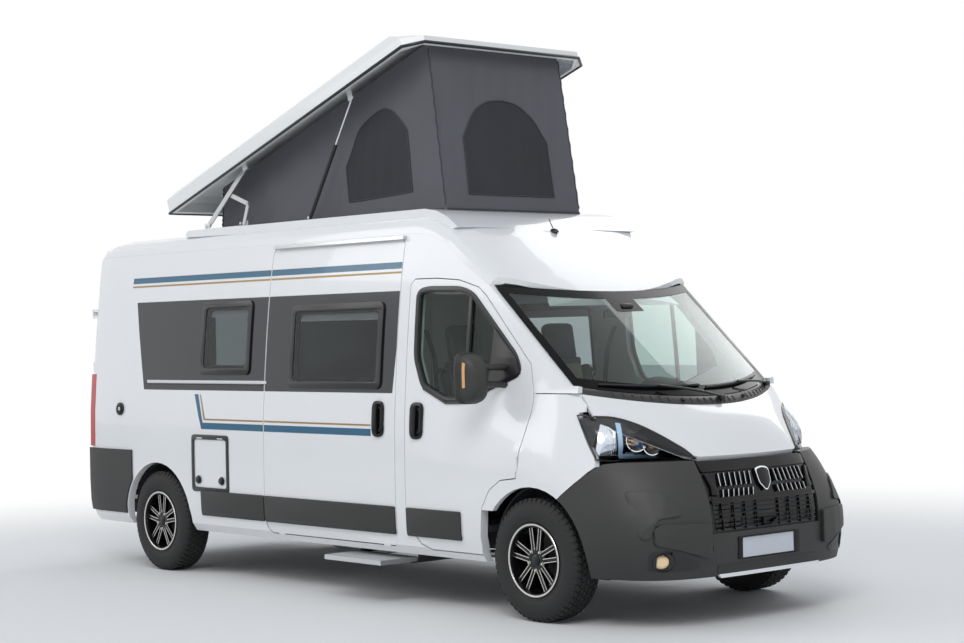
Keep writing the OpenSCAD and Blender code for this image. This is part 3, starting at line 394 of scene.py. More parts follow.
def on_side(name, outlines, side, lift, thick, material, body="body", edge=0.0, extra=()):
    """A flat piece bent onto the body's side: side is -1 for the right wall and 1 for the left."""
    piece = cut_sheet(name, outlines, list(side_cuts) + list(extra))
    if thick:
        use(piece, "SOLIDIFY", thickness=thick, offset=1.0)
    if edge:
        use(piece, "BEVEL", width=edge, segments=2, limit_method="ANGLE", angle_limit=math.radians(50))
    for vertex in piece.data.vertices:
        x, y, z = vertex.co
        vertex.co.y = side * (side_y(x, z) + lift - y)
    if side > 0:
        piece.data.flip_normals()
    return give(piece, material, body)


vinyl_black = finish("vinyl_black", (0.010, 0.012, 0.018), 0.16, coat=0.3, grain=90, bump=0.00005, vary=0.1)
vinyl_blue = finish("vinyl_petrol_blue", (0.012, 0.115, 0.21), 0.22, coat=0.3, grain=90, bump=0.00005)
vinyl_bronze = finish("vinyl_bronze", (0.36, 0.235, 0.085), 0.3, metal=0.4, grain=300, bump=0.00005)
FILM = 0.0012
side_window = (-1.407, -0.817, 1.458, 1.958)
slide_window = (-0.325, 0.645, 1.371, 1.911)
BAND_LOW, BAND_HIGH = 1.335, 1.985


def hole_of(window, grow=0.004):
    """The opening left in the film round a window."""
    return box_outline(window[0] - grow, window[1] + grow, window[2] - grow, window[3] + grow, 0.045)


for side, word in ((-1, "right"), (1, "left")):
    rear_field = rounded([(-2.165, BAND_LOW), (WALL_EDGE, BAND_LOW),
                          (WALL_EDGE, BAND_HIGH), (-2.330, BAND_HIGH)], 0.006, 2)
    on_side("vinyl_field_rear_" + word, [rear_field, hole_of(side_window)], side, FILM, 0, vinyl_black)
    front_edge = DOOR_SEAM_FRONT - 0.003
    field = rounded([(DOOR_EDGE, BAND_LOW), (0.772, BAND_LOW), (front_edge, 1.62),
                     (front_edge, BAND_HIGH), (DOOR_EDGE, BAND_HIGH)], 0.006, 2)
    on_side("vinyl_field_door_" + word, [field, hole_of(slide_window)], side, FILM, 0, vinyl_black)
    spans = ((-2.413, WALL_EDGE), (DOOR_EDGE, front_edge))
    for k, (x0, x1) in enumerate(spans):
        on_side(f"stripe_high_{word}_{k}", [box_outline(x0, x1, 2.128, 2.170)], side, FILM, 0, vinyl_blue)
        on_side(f"line_high_{word}_{k}", [box_outline(x0, x1, 2.098, 2.110)], side, FILM, 0, vinyl_bronze)
    for k, (x0, x1) in enumerate(((-1.372, WALL_EDGE), (DOOR_EDGE, 0.56))):
        on_side(f"stripe_low_{word}_{k}", [box_outline(x0, x1, 1.058, 1.104)], side, FILM, 0, vinyl_blue)
        on_side(f"line_low_{word}_{k}", [box_outline(x0 + (0.03 if k == 0 else 0), x1, 1.122, 1.133)],
                side, FILM, 0, vinyl_bronze)
    on_side("stripe_rise_" + word, [[(-1.392, 1.058), (-1.3721, 1.058), (-1.3721, 1.104), (-1.436, 1.306),
                                     (-1.484, 1.306)]], side, FILM, 0, vinyl_blue)
    on_side("line_rise_" + word, [[(-1.3581, 1.122), (-1.3421, 1.122), (-1.3421, 1.133), (-1.405, 1.306),
                                   (-1.416, 1.306)]], side, FILM, 0, vinyl_bronze)


# ---------------------------------------------------------------- living space windows
# Double acrylic top-hung windows in a black moulded frame that is screwed through the wall. The
# panes are tinted grey, and a pale roller blind cassette shows behind their top edge.
def glazing(name, tint, rough=0.015):
    """Clear glass or acrylic with a tint, and a trace of dust in its gloss."""
    material = bpy.data.materials.new(name)
    material.use_nodes = True
    tree = material.node_tree
    shader = tree.nodes["Principled BSDF"]
    shader.inputs["Base Color"].default_value = (*tint, 1)
    shader.inputs["Transmission Weight"].default_value = 1.0
    shader.inputs["IOR"].default_value = 1.3
    place = tree.nodes.new("ShaderNodeTexCoord")
    dust = tree.nodes.new("ShaderNodeTexNoise")
    dust.inputs["Scale"].default_value = 5
    tree.links.new(place.outputs["Object"], dust.inputs["Vector"])
    gloss = tree.nodes.new("ShaderNodeMapRange")
    gloss.inputs["To Min"].default_value = rough * 0.5
    gloss.inputs["To Max"].default_value = rough * 2
    tree.links.new(dust.outputs["Fac"], gloss.inputs["Value"])
    tree.links.new(gloss.outputs["Result"], shader.inputs["Roughness"])
    return material


acrylic = glazing("tinted_acrylic", (0.42, 0.45, 0.47))
frame_black = finish("window_frame_black", (0.012, 0.012, 0.013), 0.3, grain=500, bump=0.0001, vary=0.15)
blind_white = finish("blind_cassette_white", (0.72, 0.72, 0.70), 0.5, grain=100, bump=0.0001)


def inset_box(window, inset, radius):
    """A window's outline moved inward on all four sides."""
    return box_outline(window[0] + inset, window[1] - inset, window[2] + inset, window[3] - inset, radius)


for side, word in ((-1, "right"), (1, "left")):
    for part, window in (("side", side_window), ("door", slide_window)):
        tag = f"{part}_{word}"
        on_side("window_frame_" + tag, [inset_box(window, -0.012, 0.055), inset_box(window, 0.034, 0.04)],
                side, 0.0015, 0.012, frame_black, edge=0.003)
        on_side("window_inner_frame_" + tag, [inset_box(window, 0.034, 0.04), inset_box(window, 0.056, 0.03)],
                side, -0.030, 0.026, frame_black, edge=0.003)
        on_side("window_pane_" + tag, [inset_box(window, 0.020, 0.045)], side, 0.006, 0.004, acrylic)
        on_side("window_blind_" + tag, [box_outline(window[0] + 0.056, window[1] - 0.056, window[3] - 0.105,
                                                    window[3] - 0.056)], side, -0.040, 0.018, blind_white)
        for k in (0.22, 0.78):
            x = window[0] + (window[1] - window[0]) * k
            on_side(f"window_catch_{tag}_{k:.2f}", [box_outline(x - 0.035, x + 0.035, window[2] + 0.022,
                                                                 window[2] + 0.048, 0.008)],
                    side, -0.020, 0.018, frame_black, edge=0.003)


# ---------------------------------------------------------------- side trim
# Black grained rub strips clipped low along the walls and doors, the sliding door's aluminium
# rail, door handles in moulded cups, the toilet hatch's frame and knobs, and the heater's flue.
strip_low, strip_high = 0.440, 0.618
sections = {"right": ((-1.400, WALL_EDGE, "body"), (DOOR_EDGE, 0.796, "body"),
                      (0.912, 1.430, "cab_door_right")),
            "left": ((-1.400, 0.895, "body"), (0.912, 1.430, "cab_door_left"))}
for side, word in ((-1, "right"), (1, "left")):
    for k, (x0, x1, body) in enumerate(sections[word]):
        on_side(f"rub_strip_{word}_{k}", [box_outline(x0, x1, strip_low, strip_high, 0.012, 3)], side, 0.0015,
                0.010, grained_black, body, edge=0.004)
    for name, x, z, body in (("cab", 1.016, 1.165, "cab_door_" + word),) + (
            (("slide", 0.638, 1.170, "body"),) if side < 0 else ()):
        on_side(f"handle_cup_{name}_{word}",
                [box_outline(x - 0.058, x + 0.058, z - 0.116, z + 0.116, 0.055, 8)],
                side, 0.001, 0.010, gloss_black, body, edge=0.004)
        on_side(f"handle_hollow_{name}_{word}",
                [box_outline(x - 0.044, x + 0.044, z - 0.085, z + 0.085, 0.042, 8),
                 box_outline(x - 0.030, x + 0.030, z - 0.070, z + 0.070, 0.029, 8)],
                side, 0.0105, 0.003, grained_black, body, edge=0.0012)
        on_side(f"handle_grip_{name}_{word}",
                [box_outline(x - 0.016, x + 0.016, z - 0.098, z + 0.098, 0.015, 6)],
                side, 0.012, 0.026, gloss_black, body, edge=0.007)

on_side("gutter_rail", [box_outline(-0.601, 0.807, 2.312, 2.336, 0.006, 2)], -1, 0.002, 0.030,
        brushed_aluminium, edge=0.004)
on_side("rail_cap_lip", [box_outline(-2.121, DOOR_SEAM_REAR - 0.025, 1.377, 1.383)], -1, 0.006,
        0.014, satin_black)
hatch_low, hatch_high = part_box("service_hatch")
hatch_rear, hatch_front, hatch_foot, hatch_head = hatch_low.x, hatch_high.x, hatch_low.z, 0.988
on_side("service_frame", [box_outline(hatch_rear - 0.030, hatch_front + 0.030, hatch_foot - 0.030,
                                      hatch_head + 0.030, 0.035),
                          box_outline(hatch_rear + 0.002, hatch_front - 0.002, hatch_foot + 0.002,
                                      hatch_head - 0.004, 0.022)],
        -1, 0.001, 0.005, frame_black, edge=0.002)


def disc(x, z, r, steps=32):
    """A round outline about a middle."""
    return [(x + r * math.cos(a * 2 * math.pi / steps), z + r * math.sin(a * 2 * math.pi / steps))
            for a in range(steps)]


for k, x in enumerate((hatch_rear + 0.058, hatch_front - 0.058)):
    for name, r, lift, thick in (("ring", 0.030, 0.002, 0.006), ("knob", 0.021, 0.008, 0.012)):
        on_side(f"service_{name}_{k}", [disc(x, hatch_foot + 0.055, r, 24)], -1, lift, thick, frame_black,
                "hatch_lid", edge=0.003)
flue = (-2.485, 1.186)
on_side("flue_rim", [disc(*flue, 0.048)], -1, 0.001, 0.012, frame_black, edge=0.004)
on_side("flue_mouth", [disc(*flue, 0.036), disc(*flue, 0.024)], -1, 0.013, 0.008, satin_black, edge=0.002)
on_side("flue_core", [disc(*flue, 0.016)], -1, 0.013, 0.005, galvanised, edge=0.002)
on_side("fuel_flap", [box_outline(1.03, 1.17, 0.70, 0.86, 0.03)], 1, 0.0005, 0.002, white_paint,
        "cab_door_left")


# ---------------------------------------------------------------- windscreen, cowl and wipers
# Laminated glass bonded over the cab with a printed black band at its edge and a sensor case behind
# its top. A black plastic cowl fills the gap to the bonnet and carries two wipers and two jets.
def screen_point(u, v, lift=0.0):
    """A place on the windscreen: u runs from the right edge at -1 to the left, v from foot to head."""
    y = 0.847 * u
    foot = Vector((2.552 - 0.290 * u * u, y, 1.306 + 0.079 * u * u))
    head = Vector((1.760 - 0.177 * u * u, y, 1.952 + 0.047 * u * u))
    return foot.lerp(head, v) + Vector((0.63, 0.30 * u, 0.77)).normalized() * lift


def patch(name, place, columns, rows, thick, material, body="body"):
    """A plate laid over a curved surface, where place(s, t) gives its points for 0 to 1."""
    bpy.ops.mesh.primitive_grid_add(x_subdivisions=columns, y_subdivisions=rows, size=2)
    piece = bpy.context.object
    piece.name = name
    for vertex in piece.data.vertices:
        vertex.co = place((vertex.co.x + 1) / 2, (vertex.co.y + 1) / 2)
    use(piece, "WELD", merge_threshold=WELD_GAP)
    if thick:
        use(piece, "SOLIDIFY", thickness=thick, offset=1.0)
    return give(piece, material, body)


def tube(name, points, radius, material, body="body", cyclic=False, steps=3):
    """A rod or bead along a line of points."""
    data = bpy.data.curves.new(name, "CURVE")
    data.dimensions = "3D"
    data.bevel_depth = radius
    data.bevel_resolution = steps
    data.use_fill_caps = True
    spline = data.splines.new("POLY")
    spline.points.add(len(points) - 1)
    for point, place in zip(spline.points, points):
        point.co = (*place, 1)
    spline.use_cyclic_u = cyclic
    piece = bpy.data.objects.new(name, data)
    bpy.context.scene.collection.objects.link(piece)
    select_only(piece)
    bpy.ops.object.convert(target="MESH")
    return give(bpy.context.object, material, body, smooth=60)


def block(name, low, high, edge, material, body="body", taper=None):
    """A box with eased edges; taper is (axis, share) by which its far end narrows."""
    bpy.ops.mesh.primitive_cube_add(size=1)
    piece = bpy.context.object
    piece.name = name
    for vertex in piece.data.vertices:
        if taper and vertex.co[taper[0]] > 0:
            for k in range(3):
                if k != taper[0]:
                    vertex.co[k] *= taper[1]
        vertex.co = [low[k] + (high[k] - low[k]) * (vertex.co[k] + 0.5) for k in range(3)]
    use(piece, "BEVEL", width=edge, segments=3, limit_method="ANGLE", angle_limit=math.radians(30))
    return give(piece, material, body)


screen_glass = glazing("screen_glass", (0.58, 0.67, 0.65), 0.008)
screen_pane = patch("screen_pane", lambda s, t: screen_point(2 * s - 1, t, 0), 48, 20, -0.006, screen_glass)
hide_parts("windscreen")
cowl_plastic = finish("cowl_plastic", (0.016, 0.016, 0.017), 0.42, grain=600, bump=0.0002, vary=0.15)
band_black = finish("printed_band_black", (0.004, 0.004, 0.005), 0.16, grain=60, bump=0.00003, shine=0.1)
for name, u0, u1, v0, v1 in (("foot", -1, 1, -0.004, 0.088), ("head", -1, 1, 0.925, 1.0),
                             ("right", -1.0, -0.944, 0.088, 0.925), ("left", 0.944, 1.0, 0.088, 0.925)):
    patch("screen_band_" + name, lambda s, t: screen_point(u0 + (u1 - u0) * s, v0 + (v1 - v0) * t, 0.0006),
          40 if u1 - u0 > 1 else 3, 4 if u1 - u0 > 1 else 16, 0.0008, band_black)
patch("sensor_field", lambda s, t: screen_point(-0.14 + 0.28 * s, 0.80 + 0.13 * t, 0.0006), 8, 4, 0.0008,
      band_black)
block("sensor_case", (1.815, -0.060, 1.835), (1.900, 0.060, 1.875), 0.012, cowl_plastic, taper=(0, 0.75))
patch("inner_mirror", lambda s, t: Vector((1.780 + 0.006 * math.sin(math.pi * s), -0.110 + 0.220 * s,
                                           1.780 + (0.068 - 0.02 * (2 * s - 1) ** 2) * t)),
      14, 4, 0.020, cowl_plastic)


def cowl_point(s, t):
    """Foot of the glass at t = 0, rear edge of the bonnet at t = 1."""
    u = 2 * s - 1
    y = 0.842 * u
    foot = Vector((2.566 - 0.290 * u * u, y, 1.300 + 0.079 * u * u))
    rear = Vector((2.620 - 0.298 * u * u, y, 1.247 + 0.088 * u * u))
    return foot.lerp(rear, t) + Vector((0.004, 0, 0.006)) * math.sin(math.pi * t)


patch("cowl_panel", lambda s, t: cowl_point(1 - s, t), 44, 6, -0.004, cowl_plastic)
COWL_RIBS, RIB_GAPS = 26, (0.33, 0.66)
for k in range(COWL_RIBS):
    across = 0.10 + 0.80 * k / (COWL_RIBS - 1)
    if all(abs(across - gap) > 0.03 for gap in RIB_GAPS):
        tube(f"cowl_rib_{k:02d}",
             [cowl_point(across, t) + Vector((0.001, 0, 0.003)) for t in (0.25, 0.5, 0.8)],
             0.0022, cowl_plastic, steps=1)
for word, u in (("right", -0.30), ("left", 0.36)):
    base = cowl_point((1 + u) / 2, 0.55)
    block("washer_jet_" + word, base + Vector((-0.022, -0.017, -0.001)),
          base + Vector((0.022, 0.017, 0.016)), 0.007, cowl_plastic, taper=(2, 0.5))


def wiper_line(start, end, lift, bow, count):
    """Places in a line over the glass, bowed away from it in the middle."""
    return [screen_point(start[0] + (end[0] - start[0]) * k / count,
                         start[1] + (end[1] - start[1]) * k / count,
                         lift + bow * math.sin(math.pi * k / count)) for k in range(count + 1)]


for word, pivot, knee, near, far in (("right", (0.06, -0.050), (-0.42, 0.050), (-0.02, 0.085),
                                      (-0.84, 0.036)),
                                     ("left", (0.84, -0.040), (0.40, 0.055), (0.80, 0.060), (0.02, 0.060))):
    hub = screen_point(*pivot, 0.026)
    block("wiper_hub_" + word, hub - Vector((0.024, 0.020, 0.020)),
          hub + Vector((0.022, 0.020, 0.012)), 0.010, satin_black)
    tube("wiper_arm_" + word, wiper_line(pivot, knee, 0.030, 0.014, 8), 0.0075, satin_black, steps=2)
    tube("wiper_blade_" + word, wiper_line(near, far, 0.010, 0.008, 20), 0.0068, satin_black, steps=1)
    patch("wiper_rubber_" + word, lambda s, t: screen_point(near[0] + (far[0] - near[0]) * s,
                                                            near[1] + (far[1] - near[1]) * s,
                                                            0.0025 + 0.010 * t),
          20, 1, 0.0025, satin_black)


# ---------------------------------------------------------------- cab door glass
# Tempered green-tinted panes that slide down into the doors. A black rubber gasket runs round each
# opening, with an upright divider and a black corner plate where the mirror is bolted on.
door_glass = glazing("door_glass", (0.54, 0.66, 0.62), 0.01)
door_window = [(0.977, 1.975), (1.060, 1.992), (1.330, 1.985), (1.435, 1.950), (1.830, 1.560), (1.868, 1.460),
               (1.400, 1.292), (1.270, 1.290), (1.060, 1.378), (0.985, 1.560)]


def grown(outline, width):
    """The outline moved outward by a width, or inward where it is negative."""
    moved = []
    count = len(outline)
    area = sum(outline[i - 1][0] * outline[i][1] - outline[i][0] * outline[i - 1][1] for i in range(count))
    turn = 1 if area > 0 else -1
    for i in range(count):
        here = Vector(outline[i])
        a = (here - Vector(outline[i - 1])).normalized()
        b = (Vector(outline[(i + 1) % count]) - here).normalized()
        out = Vector((a.y + b.y, -a.x - b.x)).normalized() * turn
        share = max(0.5, math.sqrt((1 + a.dot(b)) / 2))
        moved.append(tuple(here + out * width / share))
    return moved


eased_window = rounded(door_window, 0.05, 4)
for side, word in ((-1, "right"), (1, "left")):
    door = "cab_door_" + word
    on_side("door_pane_" + word, [grown(eased_window, -0.001)], side, -0.017, 0.004, door_glass, door)
    on_side("door_gasket_" + word, [grown(eased_window, 0.016), grown(eased_window, -0.014)], side,
            0.0012, 0.005, frame_black, door, edge=0.002)
    on_side("door_gasket_inner_" + word,
            [grown(eased_window, -0.002), grown(eased_window, -0.020)], side, -0.020,
            0.022, satin_black, door)
    on_side("door_divider_" + word,
            [[(1.412, 1.297), (1.440, 1.304), (1.440, 1.948), (1.412, 1.960)]], side, -0.012,
            0.016, frame_black, door, edge=0.003)
    on_side("mirror_plate_" + word, [rounded([(1.622, 1.372), (1.868, 1.462), (1.832, 1.556), (1.642, 1.738)],
                                             0.018)],
            side, -0.010, 0.022, frame_black, door, edge=0.005)
    on_side("door_sill_strip_" + word,
            [[(1.06, 1.362), (1.27, 1.272), (1.40, 1.274), (1.62, 1.353), (1.62, 1.366),
              (1.40, 1.286), (1.27, 1.284), (1.065, 1.372)]], side, 0.001, 0.009,
            frame_black, door, edge=0.003)


# ---------------------------------------------------------------- headlamps
# Clear polycarbonate lenses sealed to a black housing. Behind the lens are two chromed reflector
# bowls with amber turn strips, a light guide that bends up along its side, and a ribbed outer fan.
def shell_of(*names):
    """Search tree of CAD surfaces, to lay trim on them."""
    points, faces = [], []
    for name in names:
        mesh = nodes[name].data
        start = len(points)
        points += [nodes[name].matrix_world @ v.co for v in mesh.vertices]
        faces += [[start + i for i in f.vertices] for f in mesh.polygons]
    return BVHTree.FromPolygons(points, faces)


def on_front(name, outlines, tree, lift, thick, material, body="body", edge=0.0, slot=None,
             cuts=(), reach=3.4, away=None):
    """A flat piece cut in the Y-Z plane and laid back onto the front along X."""
    piece = cut_sheet(name, outlines, cuts)
    if thick:
        use(piece, "SOLIDIFY", thickness=thick, offset=1.0)
    if edge:
        use(piece, "BEVEL", width=edge, segments=2, limit_method="ANGLE", angle_limit=math.radians(50))
    last = reach - 0.5
    for vertex in piece.data.vertices:
        x, y, z = vertex.co
        hit = tree.ray_cast(Vector((reach, x, z)), Vector((-1, 0, 0)))[0]
        last = hit.x if hit else (last if away is None else away)
        vertex.co = (last + lift - y, x, z)
    return give(piece, material, body)


def steps_of(low, high, gap, axis):
    """Evenly spaced cuts across one axis, for score()."""
    count = max(1, int((high - low) / gap))
    return [(axis, low + (high - low) * k / count) for k in range(1, count)]


lamp_tree = shell_of("headlamps")
bonnet_tree = shell_of("bonnet")
lens_glass = glazing("lens_clear", (0.93, 0.95, 0.97), 0.01)
lamp_black = finish("lamp_housing_black", (0.012, 0.013, 0.016), 0.22, grain=400, bump=0.0001, shine=0.35)
lamp_chrome = finish("reflector_chrome", (0.86, 0.89, 0.93), 0.10, metal=1.0, grain=200, bump=0.0001)
light_guide = finish("light_guide", (0.50, 0.72, 0.95), 0.15, coat=0.5, grain=400, bump=0.0001)
amber = finish("amber_lens", (0.75, 0.40, 0.16), 0.15, coat=0.5, grain=900, bump=0.0003)
BONNET_CORNER = Vector((2.839, 0.463, 0.968))
LAMP_INNER, LAMP_OUTER = 0.455, 0.876
LAMP_FLOOR, LAMP_BEND = 0.953, 0.72
WING_START, WING_LENGTH = 2.051, 0.449
lamp_back_line = ((LAMP_BEND, 2.500, LAMP_FLOOR), (0.80, 2.486, 0.992), (0.90, 2.436, 1.064),
                  (1.0, 2.334, 1.218))


def bonnet_front(y):
    """X and Z of the bonnet's front edge: a shallow bow between its corners, then a slope outward."""
    if y < BONNET_CORNER.y:
        return 2.898 - 0.059 * (y / BONNET_CORNER.y) ** 2, BONNET_CORNER.z
    return BONNET_CORNER.x - (y - BONNET_CORNER.y) * 1.076, BONNET_CORNER.z + (y - BONNET_CORNER.y) * 0.592


def lamp_edges(s, bowed=True):
    """Lower and upper edge of the left lamp, from its inner corner at 0 to its tip at 1."""
    y = LAMP_INNER + (LAMP_OUTER - LAMP_INNER) * s
    x, z = bonnet_front(y)
    upper = Vector((x + 0.006, y, z - 0.010))
    bow = 0.048 * math.sin(math.pi * min(1.0, 1.08 * s)) ** 0.8 if 0 < s < 0.92 else 0.0
    if bowed and bow > 0.003:
        hit = bonnet_tree.ray_cast(Vector((x - bow, y, 1.6)), Vector((0, 0, -1)))[0]
        upper = Vector((x - bow, y, hit.z + 0.007)) if hit else upper
    if s > 0.86:
        upper = upper + Vector((-0.020, 0.004, 0.014)) * (s - 0.86) / 0.14
    if s < LAMP_BEND:
        y = 0.450 + 0.385 * s / LAMP_BEND
        hit = lamp_tree.ray_cast(Vector((3.4, y, LAMP_FLOOR + 0.003)), Vector((-1, 0, 0)))[0]
        return Vector((hit.x if hit else 2.52, y, LAMP_FLOOR)), upper
    for (s0, x0, z0), (s1, x1, z1) in zip(lamp_back_line, lamp_back_line[1:]):
        if s <= s1 + 1e-9:
            share = (s - s0) / (s1 - s0)
            x, z = x0 + (x1 - x0) * share, z0 + (z1 - z0) * share
            break
    round_in = 1 - 0.0045 - 0.095 * ((x - WING_START) / WING_LENGTH) ** 2
    return Vector((x + 0.004, side_y(WING_START, z) * round_in, z)), upper


def lamp_point(s, t, depth=0.0, side=1):
    """A place on the bulging lens, s along it and t up it, or at a depth behind it."""
    low, high = lamp_edges(s)
    bulge = 0.055 * math.sin(math.pi * t) * math.sin(math.pi * min(1, 0.12 + 0.88 * s)) ** 0.5
    place = low.lerp(high, t) + Vector((0.80, 0.55, 0.10)) * (bulge - depth)
    return Vector((place.x, side * place.y, place.z))


def bowl_ring(middle, ahead_of, a, r, depth):
    """A place round a lamp's bowl, at a radius and a depth along its axis."""
    across = Vector((0, 0, 1)).cross(ahead_of).normalized()
    above = ahead_of.cross(across)
    return middle + (across * math.cos(2 * math.pi * a) + above * math.sin(2 * math.pi * a)) * r + ahead_of * depth


bowl_rise = ((0.0, -0.020), (0.2, -0.016), (0.4, -0.004), (0.6, 0.010), (0.8, 0.018), (1.0, 0.018))
bowl_width = ((0.0, 0.0), (0.2, 0.35), (0.4, 0.7), (0.6, 0.92), (0.8, 1.0), (1.0, 1.08))
for side, word in ((-1, "right"), (1, "left")):
    def laid(name, s0, s1, t0, t1, depth, thick, material, columns=12, rows=4, lean=0.0):
        """A strip inside the lamp, between two places along it and two up it."""
        def place(a, b):
            a = a if side > 0 else 1 - a
            return lamp_point(s0 + (s1 - s0) * a + lean * b, t0 + (t1 - t0) * b, depth, side)
        return patch(name + "_" + word, place, columns, rows, thick, material)

    lens = laid("lamp_lens", 0.0, 1.0, 0.0, 1.0, 0.0, -0.003, lens_glass, 40, 14)
    laid("lamp_housing", 0.01, 0.99, 0.02, 0.98, 0.075, -0.004, lamp_black, 40, 14)
    rim = [lamp_point(k / 24, 0.0, 0.002, side) for k in range(25)] + [lamp_point(k / 24, 1.0, 0.002, side)
                                                                       for k in range(24, -1, -1)]
    tube("lamp_seal_" + word, rim, 0.0055, frame_black, cyclic=True)

    def skirt_point(a, b):
        """The black skirt hangs over the bonnet's front edge and runs back under the lens's upper rim."""
        s = a if side > 0 else 1 - a
        fold = lamp_edges(s, False)[1] + Vector((0.006, 0, 0.006))
        if b < 0.34:
            place = fold + Vector((0.001, 0, -0.024)) * (1 - 3 * b) * min(1, 6 * s, 6 * (1 - s))
        else:
            place = fold.lerp(lamp_edges(s)[1] - Vector((0, 0, 0.003)), (b - 1 / 3) * 1.5)
        return Vector((place.x, side * place.y, place.z))

    patch("lamp_skirt_" + word, skirt_point, 32, 3, 0.0015, lamp_black)
    laid("lamp_tip", 0.84, 0.985, 0.06, 0.94, 0.020, 0.004, lamp_black, 10, 6)
    laid("lamp_fan", 0.64, 0.80, 0.14, 0.86, 0.030, 0.004, lamp_chrome, 8, 8, lean=0.06)
    for k in range(6):
        laid(f"lamp_fan_rib_{k}", 0.635 + 0.03 * k, 0.645 + 0.03 * k, 0.14, 0.90, 0.024, 0.004,
             lens_glass, 2, 8, lean=0.06)
    laid("lamp_guide", 0.05, 0.58, 0.07, 0.17, 0.012, 0.006, light_guide, 24, 2)
    laid("lamp_guide_rise", 0.545, 0.600, 0.10, 0.88, 0.012, 0.006, light_guide, 3, 12, lean=0.10)
    laid("lamp_step", 0.10, 0.52, 0.20, 0.30, 0.030, 0.006, lamp_chrome, 20, 2)
    for k in range(4):
        laid(f"lamp_turn_{k}", 0.44, 0.53, 0.42 + 0.09 * k, 0.47 + 0.09 * k, 0.030, 0.006, amber, 6, 1)
    for k, (s, t, r) in enumerate(((0.270, 0.56, 0.052), (0.440, 0.56, 0.060))):
        middle = lamp_point(s, t, 0.050, side)
        ahead_of = Vector((0.88, side * 0.45, 0.12)).normalized()
        patch(f"lamp_bowl_{k}_{word}",
              lambda a, b: bowl_ring(middle, ahead_of, a, r * along(bowl_width, b), along(bowl_rise, b)),
              32, 10, -0.002, lamp_chrome)
        patch(f"lamp_bulb_{k}_{word}",
              lambda a, b: bowl_ring(middle, ahead_of, a, r * 0.36 * math.sin(math.pi * b / 2),
                                     0.008 + 0.012 * math.cos(math.pi * b / 2)),
              20, 6, -0.001, light_guide if k else amber)
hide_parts("headlamps")


# ---------------------------------------------------------------- grille and front bumper
# Injection moulded plastic. The gloss black grille has slanted fins over a recessed mesh, and a bare
# shield at its middle. The bumper is grained and dyed through, with raised corner panels, round
# lamps low in its corners and a bright lip under the air slot.
nose_tree = shell_of("front_bumper", "grille")
# The fog lens gets a bright warm colour as painted light: it stands in for the light seen in the lens, not the lens's
# own colour.
painted_light_fog_lens = finish("fog_lens_painted_light", (0.95, 0.72, 0.42), 0.12, coat=0.6, grain=900, bump=0.0003)
plate_pale = finish("plate_blank", (0.60, 0.64, 0.70), 0.35, coat=0.2, grain=200, bump=0.0001)
grille_heights = [(1, z) for z in (0.56, 0.62, 0.70, 0.78, 0.82, 0.86, 0.90)]


def front(name, outlines, lift, thick, material, **kw):
    """A piece of the grille or bumper, laid on the nose and cut so that it follows its curve."""
    spread = [p[0] for p in outlines[0]]
    kw.setdefault("slot", "grille_gloss")
    kw.setdefault("cuts", steps_of(min(spread), max(spread), 0.045, 0) + grille_heights)
    return on_front(name, outlines, nose_tree, lift, thick, material, **kw)


def mirrored(outline, side):
    """The outline of a piece on the left, or its turned copy on the right."""
    return [(side * y, z) for y, z in outline][::side]


def flared(low_half, high_half, low, high, radius=0.0):
    """An outline even about the middle, with one half width at its foot and one at its head."""
    corners = [(-low_half, low), (low_half, low), (high_half, high), (-high_half, high)]
    return rounded(corners, radius) if radius else corners


front("mesh_field", [flared(0.435, 0.452, 0.545, 0.705, 0.02)], 0.001, 0.003, satin_black)
for k in range(6):
    z = 0.562 + 0.0255 * k
    front(f"mesh_slat_{k}", [flared(0.432, 0.432, z, z + 0.006)], 0.004, 0.016, gloss_black, edge=0.002)
for k in (-4, -3, -2, -1, 1, 2, 3, 4):
    y = 0.098 * k - 0.003
    front(f"mesh_post_{k}", [box_outline(y, y + 0.006, 0.548, 0.702)], 0.004, 0.013, gloss_black, edge=0.002)
front("mesh_box", [flared(0.062, 0.062, 0.552, 0.602, 0.006)], 0.004, 0.024, gloss_black, edge=0.004)
front("grille_bar", [flared(0.46, 0.463, 0.703, 0.722, 0.004)], 0.001, 0.014, gloss_black, edge=0.004)
front("grille_brow", [flared(0.462, 0.470, 0.882, 0.938, 0.012)], 0.001, 0.010, gloss_black, edge=0.004)
front("grille_floor", [flared(0.445, 0.452, 0.722, 0.882, 0.01)], 0.0008, 0.002, gloss_black)
FIN_SLANT, FIN_WIDTH = 0.010, 0.012
blade = ((0.392, 0.748), (0.448, 0.752), (0.440, 0.800), (0.456, 0.868), (0.436, 0.872), (0.404, 0.806))
cheek = ((0.868, 0.520), (0.815, 0.640), (0.672, 0.655), (0.735, 0.770), (0.790, 0.795), (0.900, 0.790),
         (0.900, 0.530))
jaw = ((0.560, 0.410), (0.700, 0.455), (0.842, 0.492), (0.842, 0.585), (0.800, 0.612), (0.500, 0.600),
       (0.500, 0.405))
hollow = ((0.600, 0.340), (0.560, 0.372), (0.780, 0.462), (0.862, 0.452), (0.858, 0.345))
bumper_cuts = steps_of(-0.9, 0.9, 0.015, 0)
FOG_Y, FOG_Z, FOG_LENS = 0.790, 0.395, 0.041
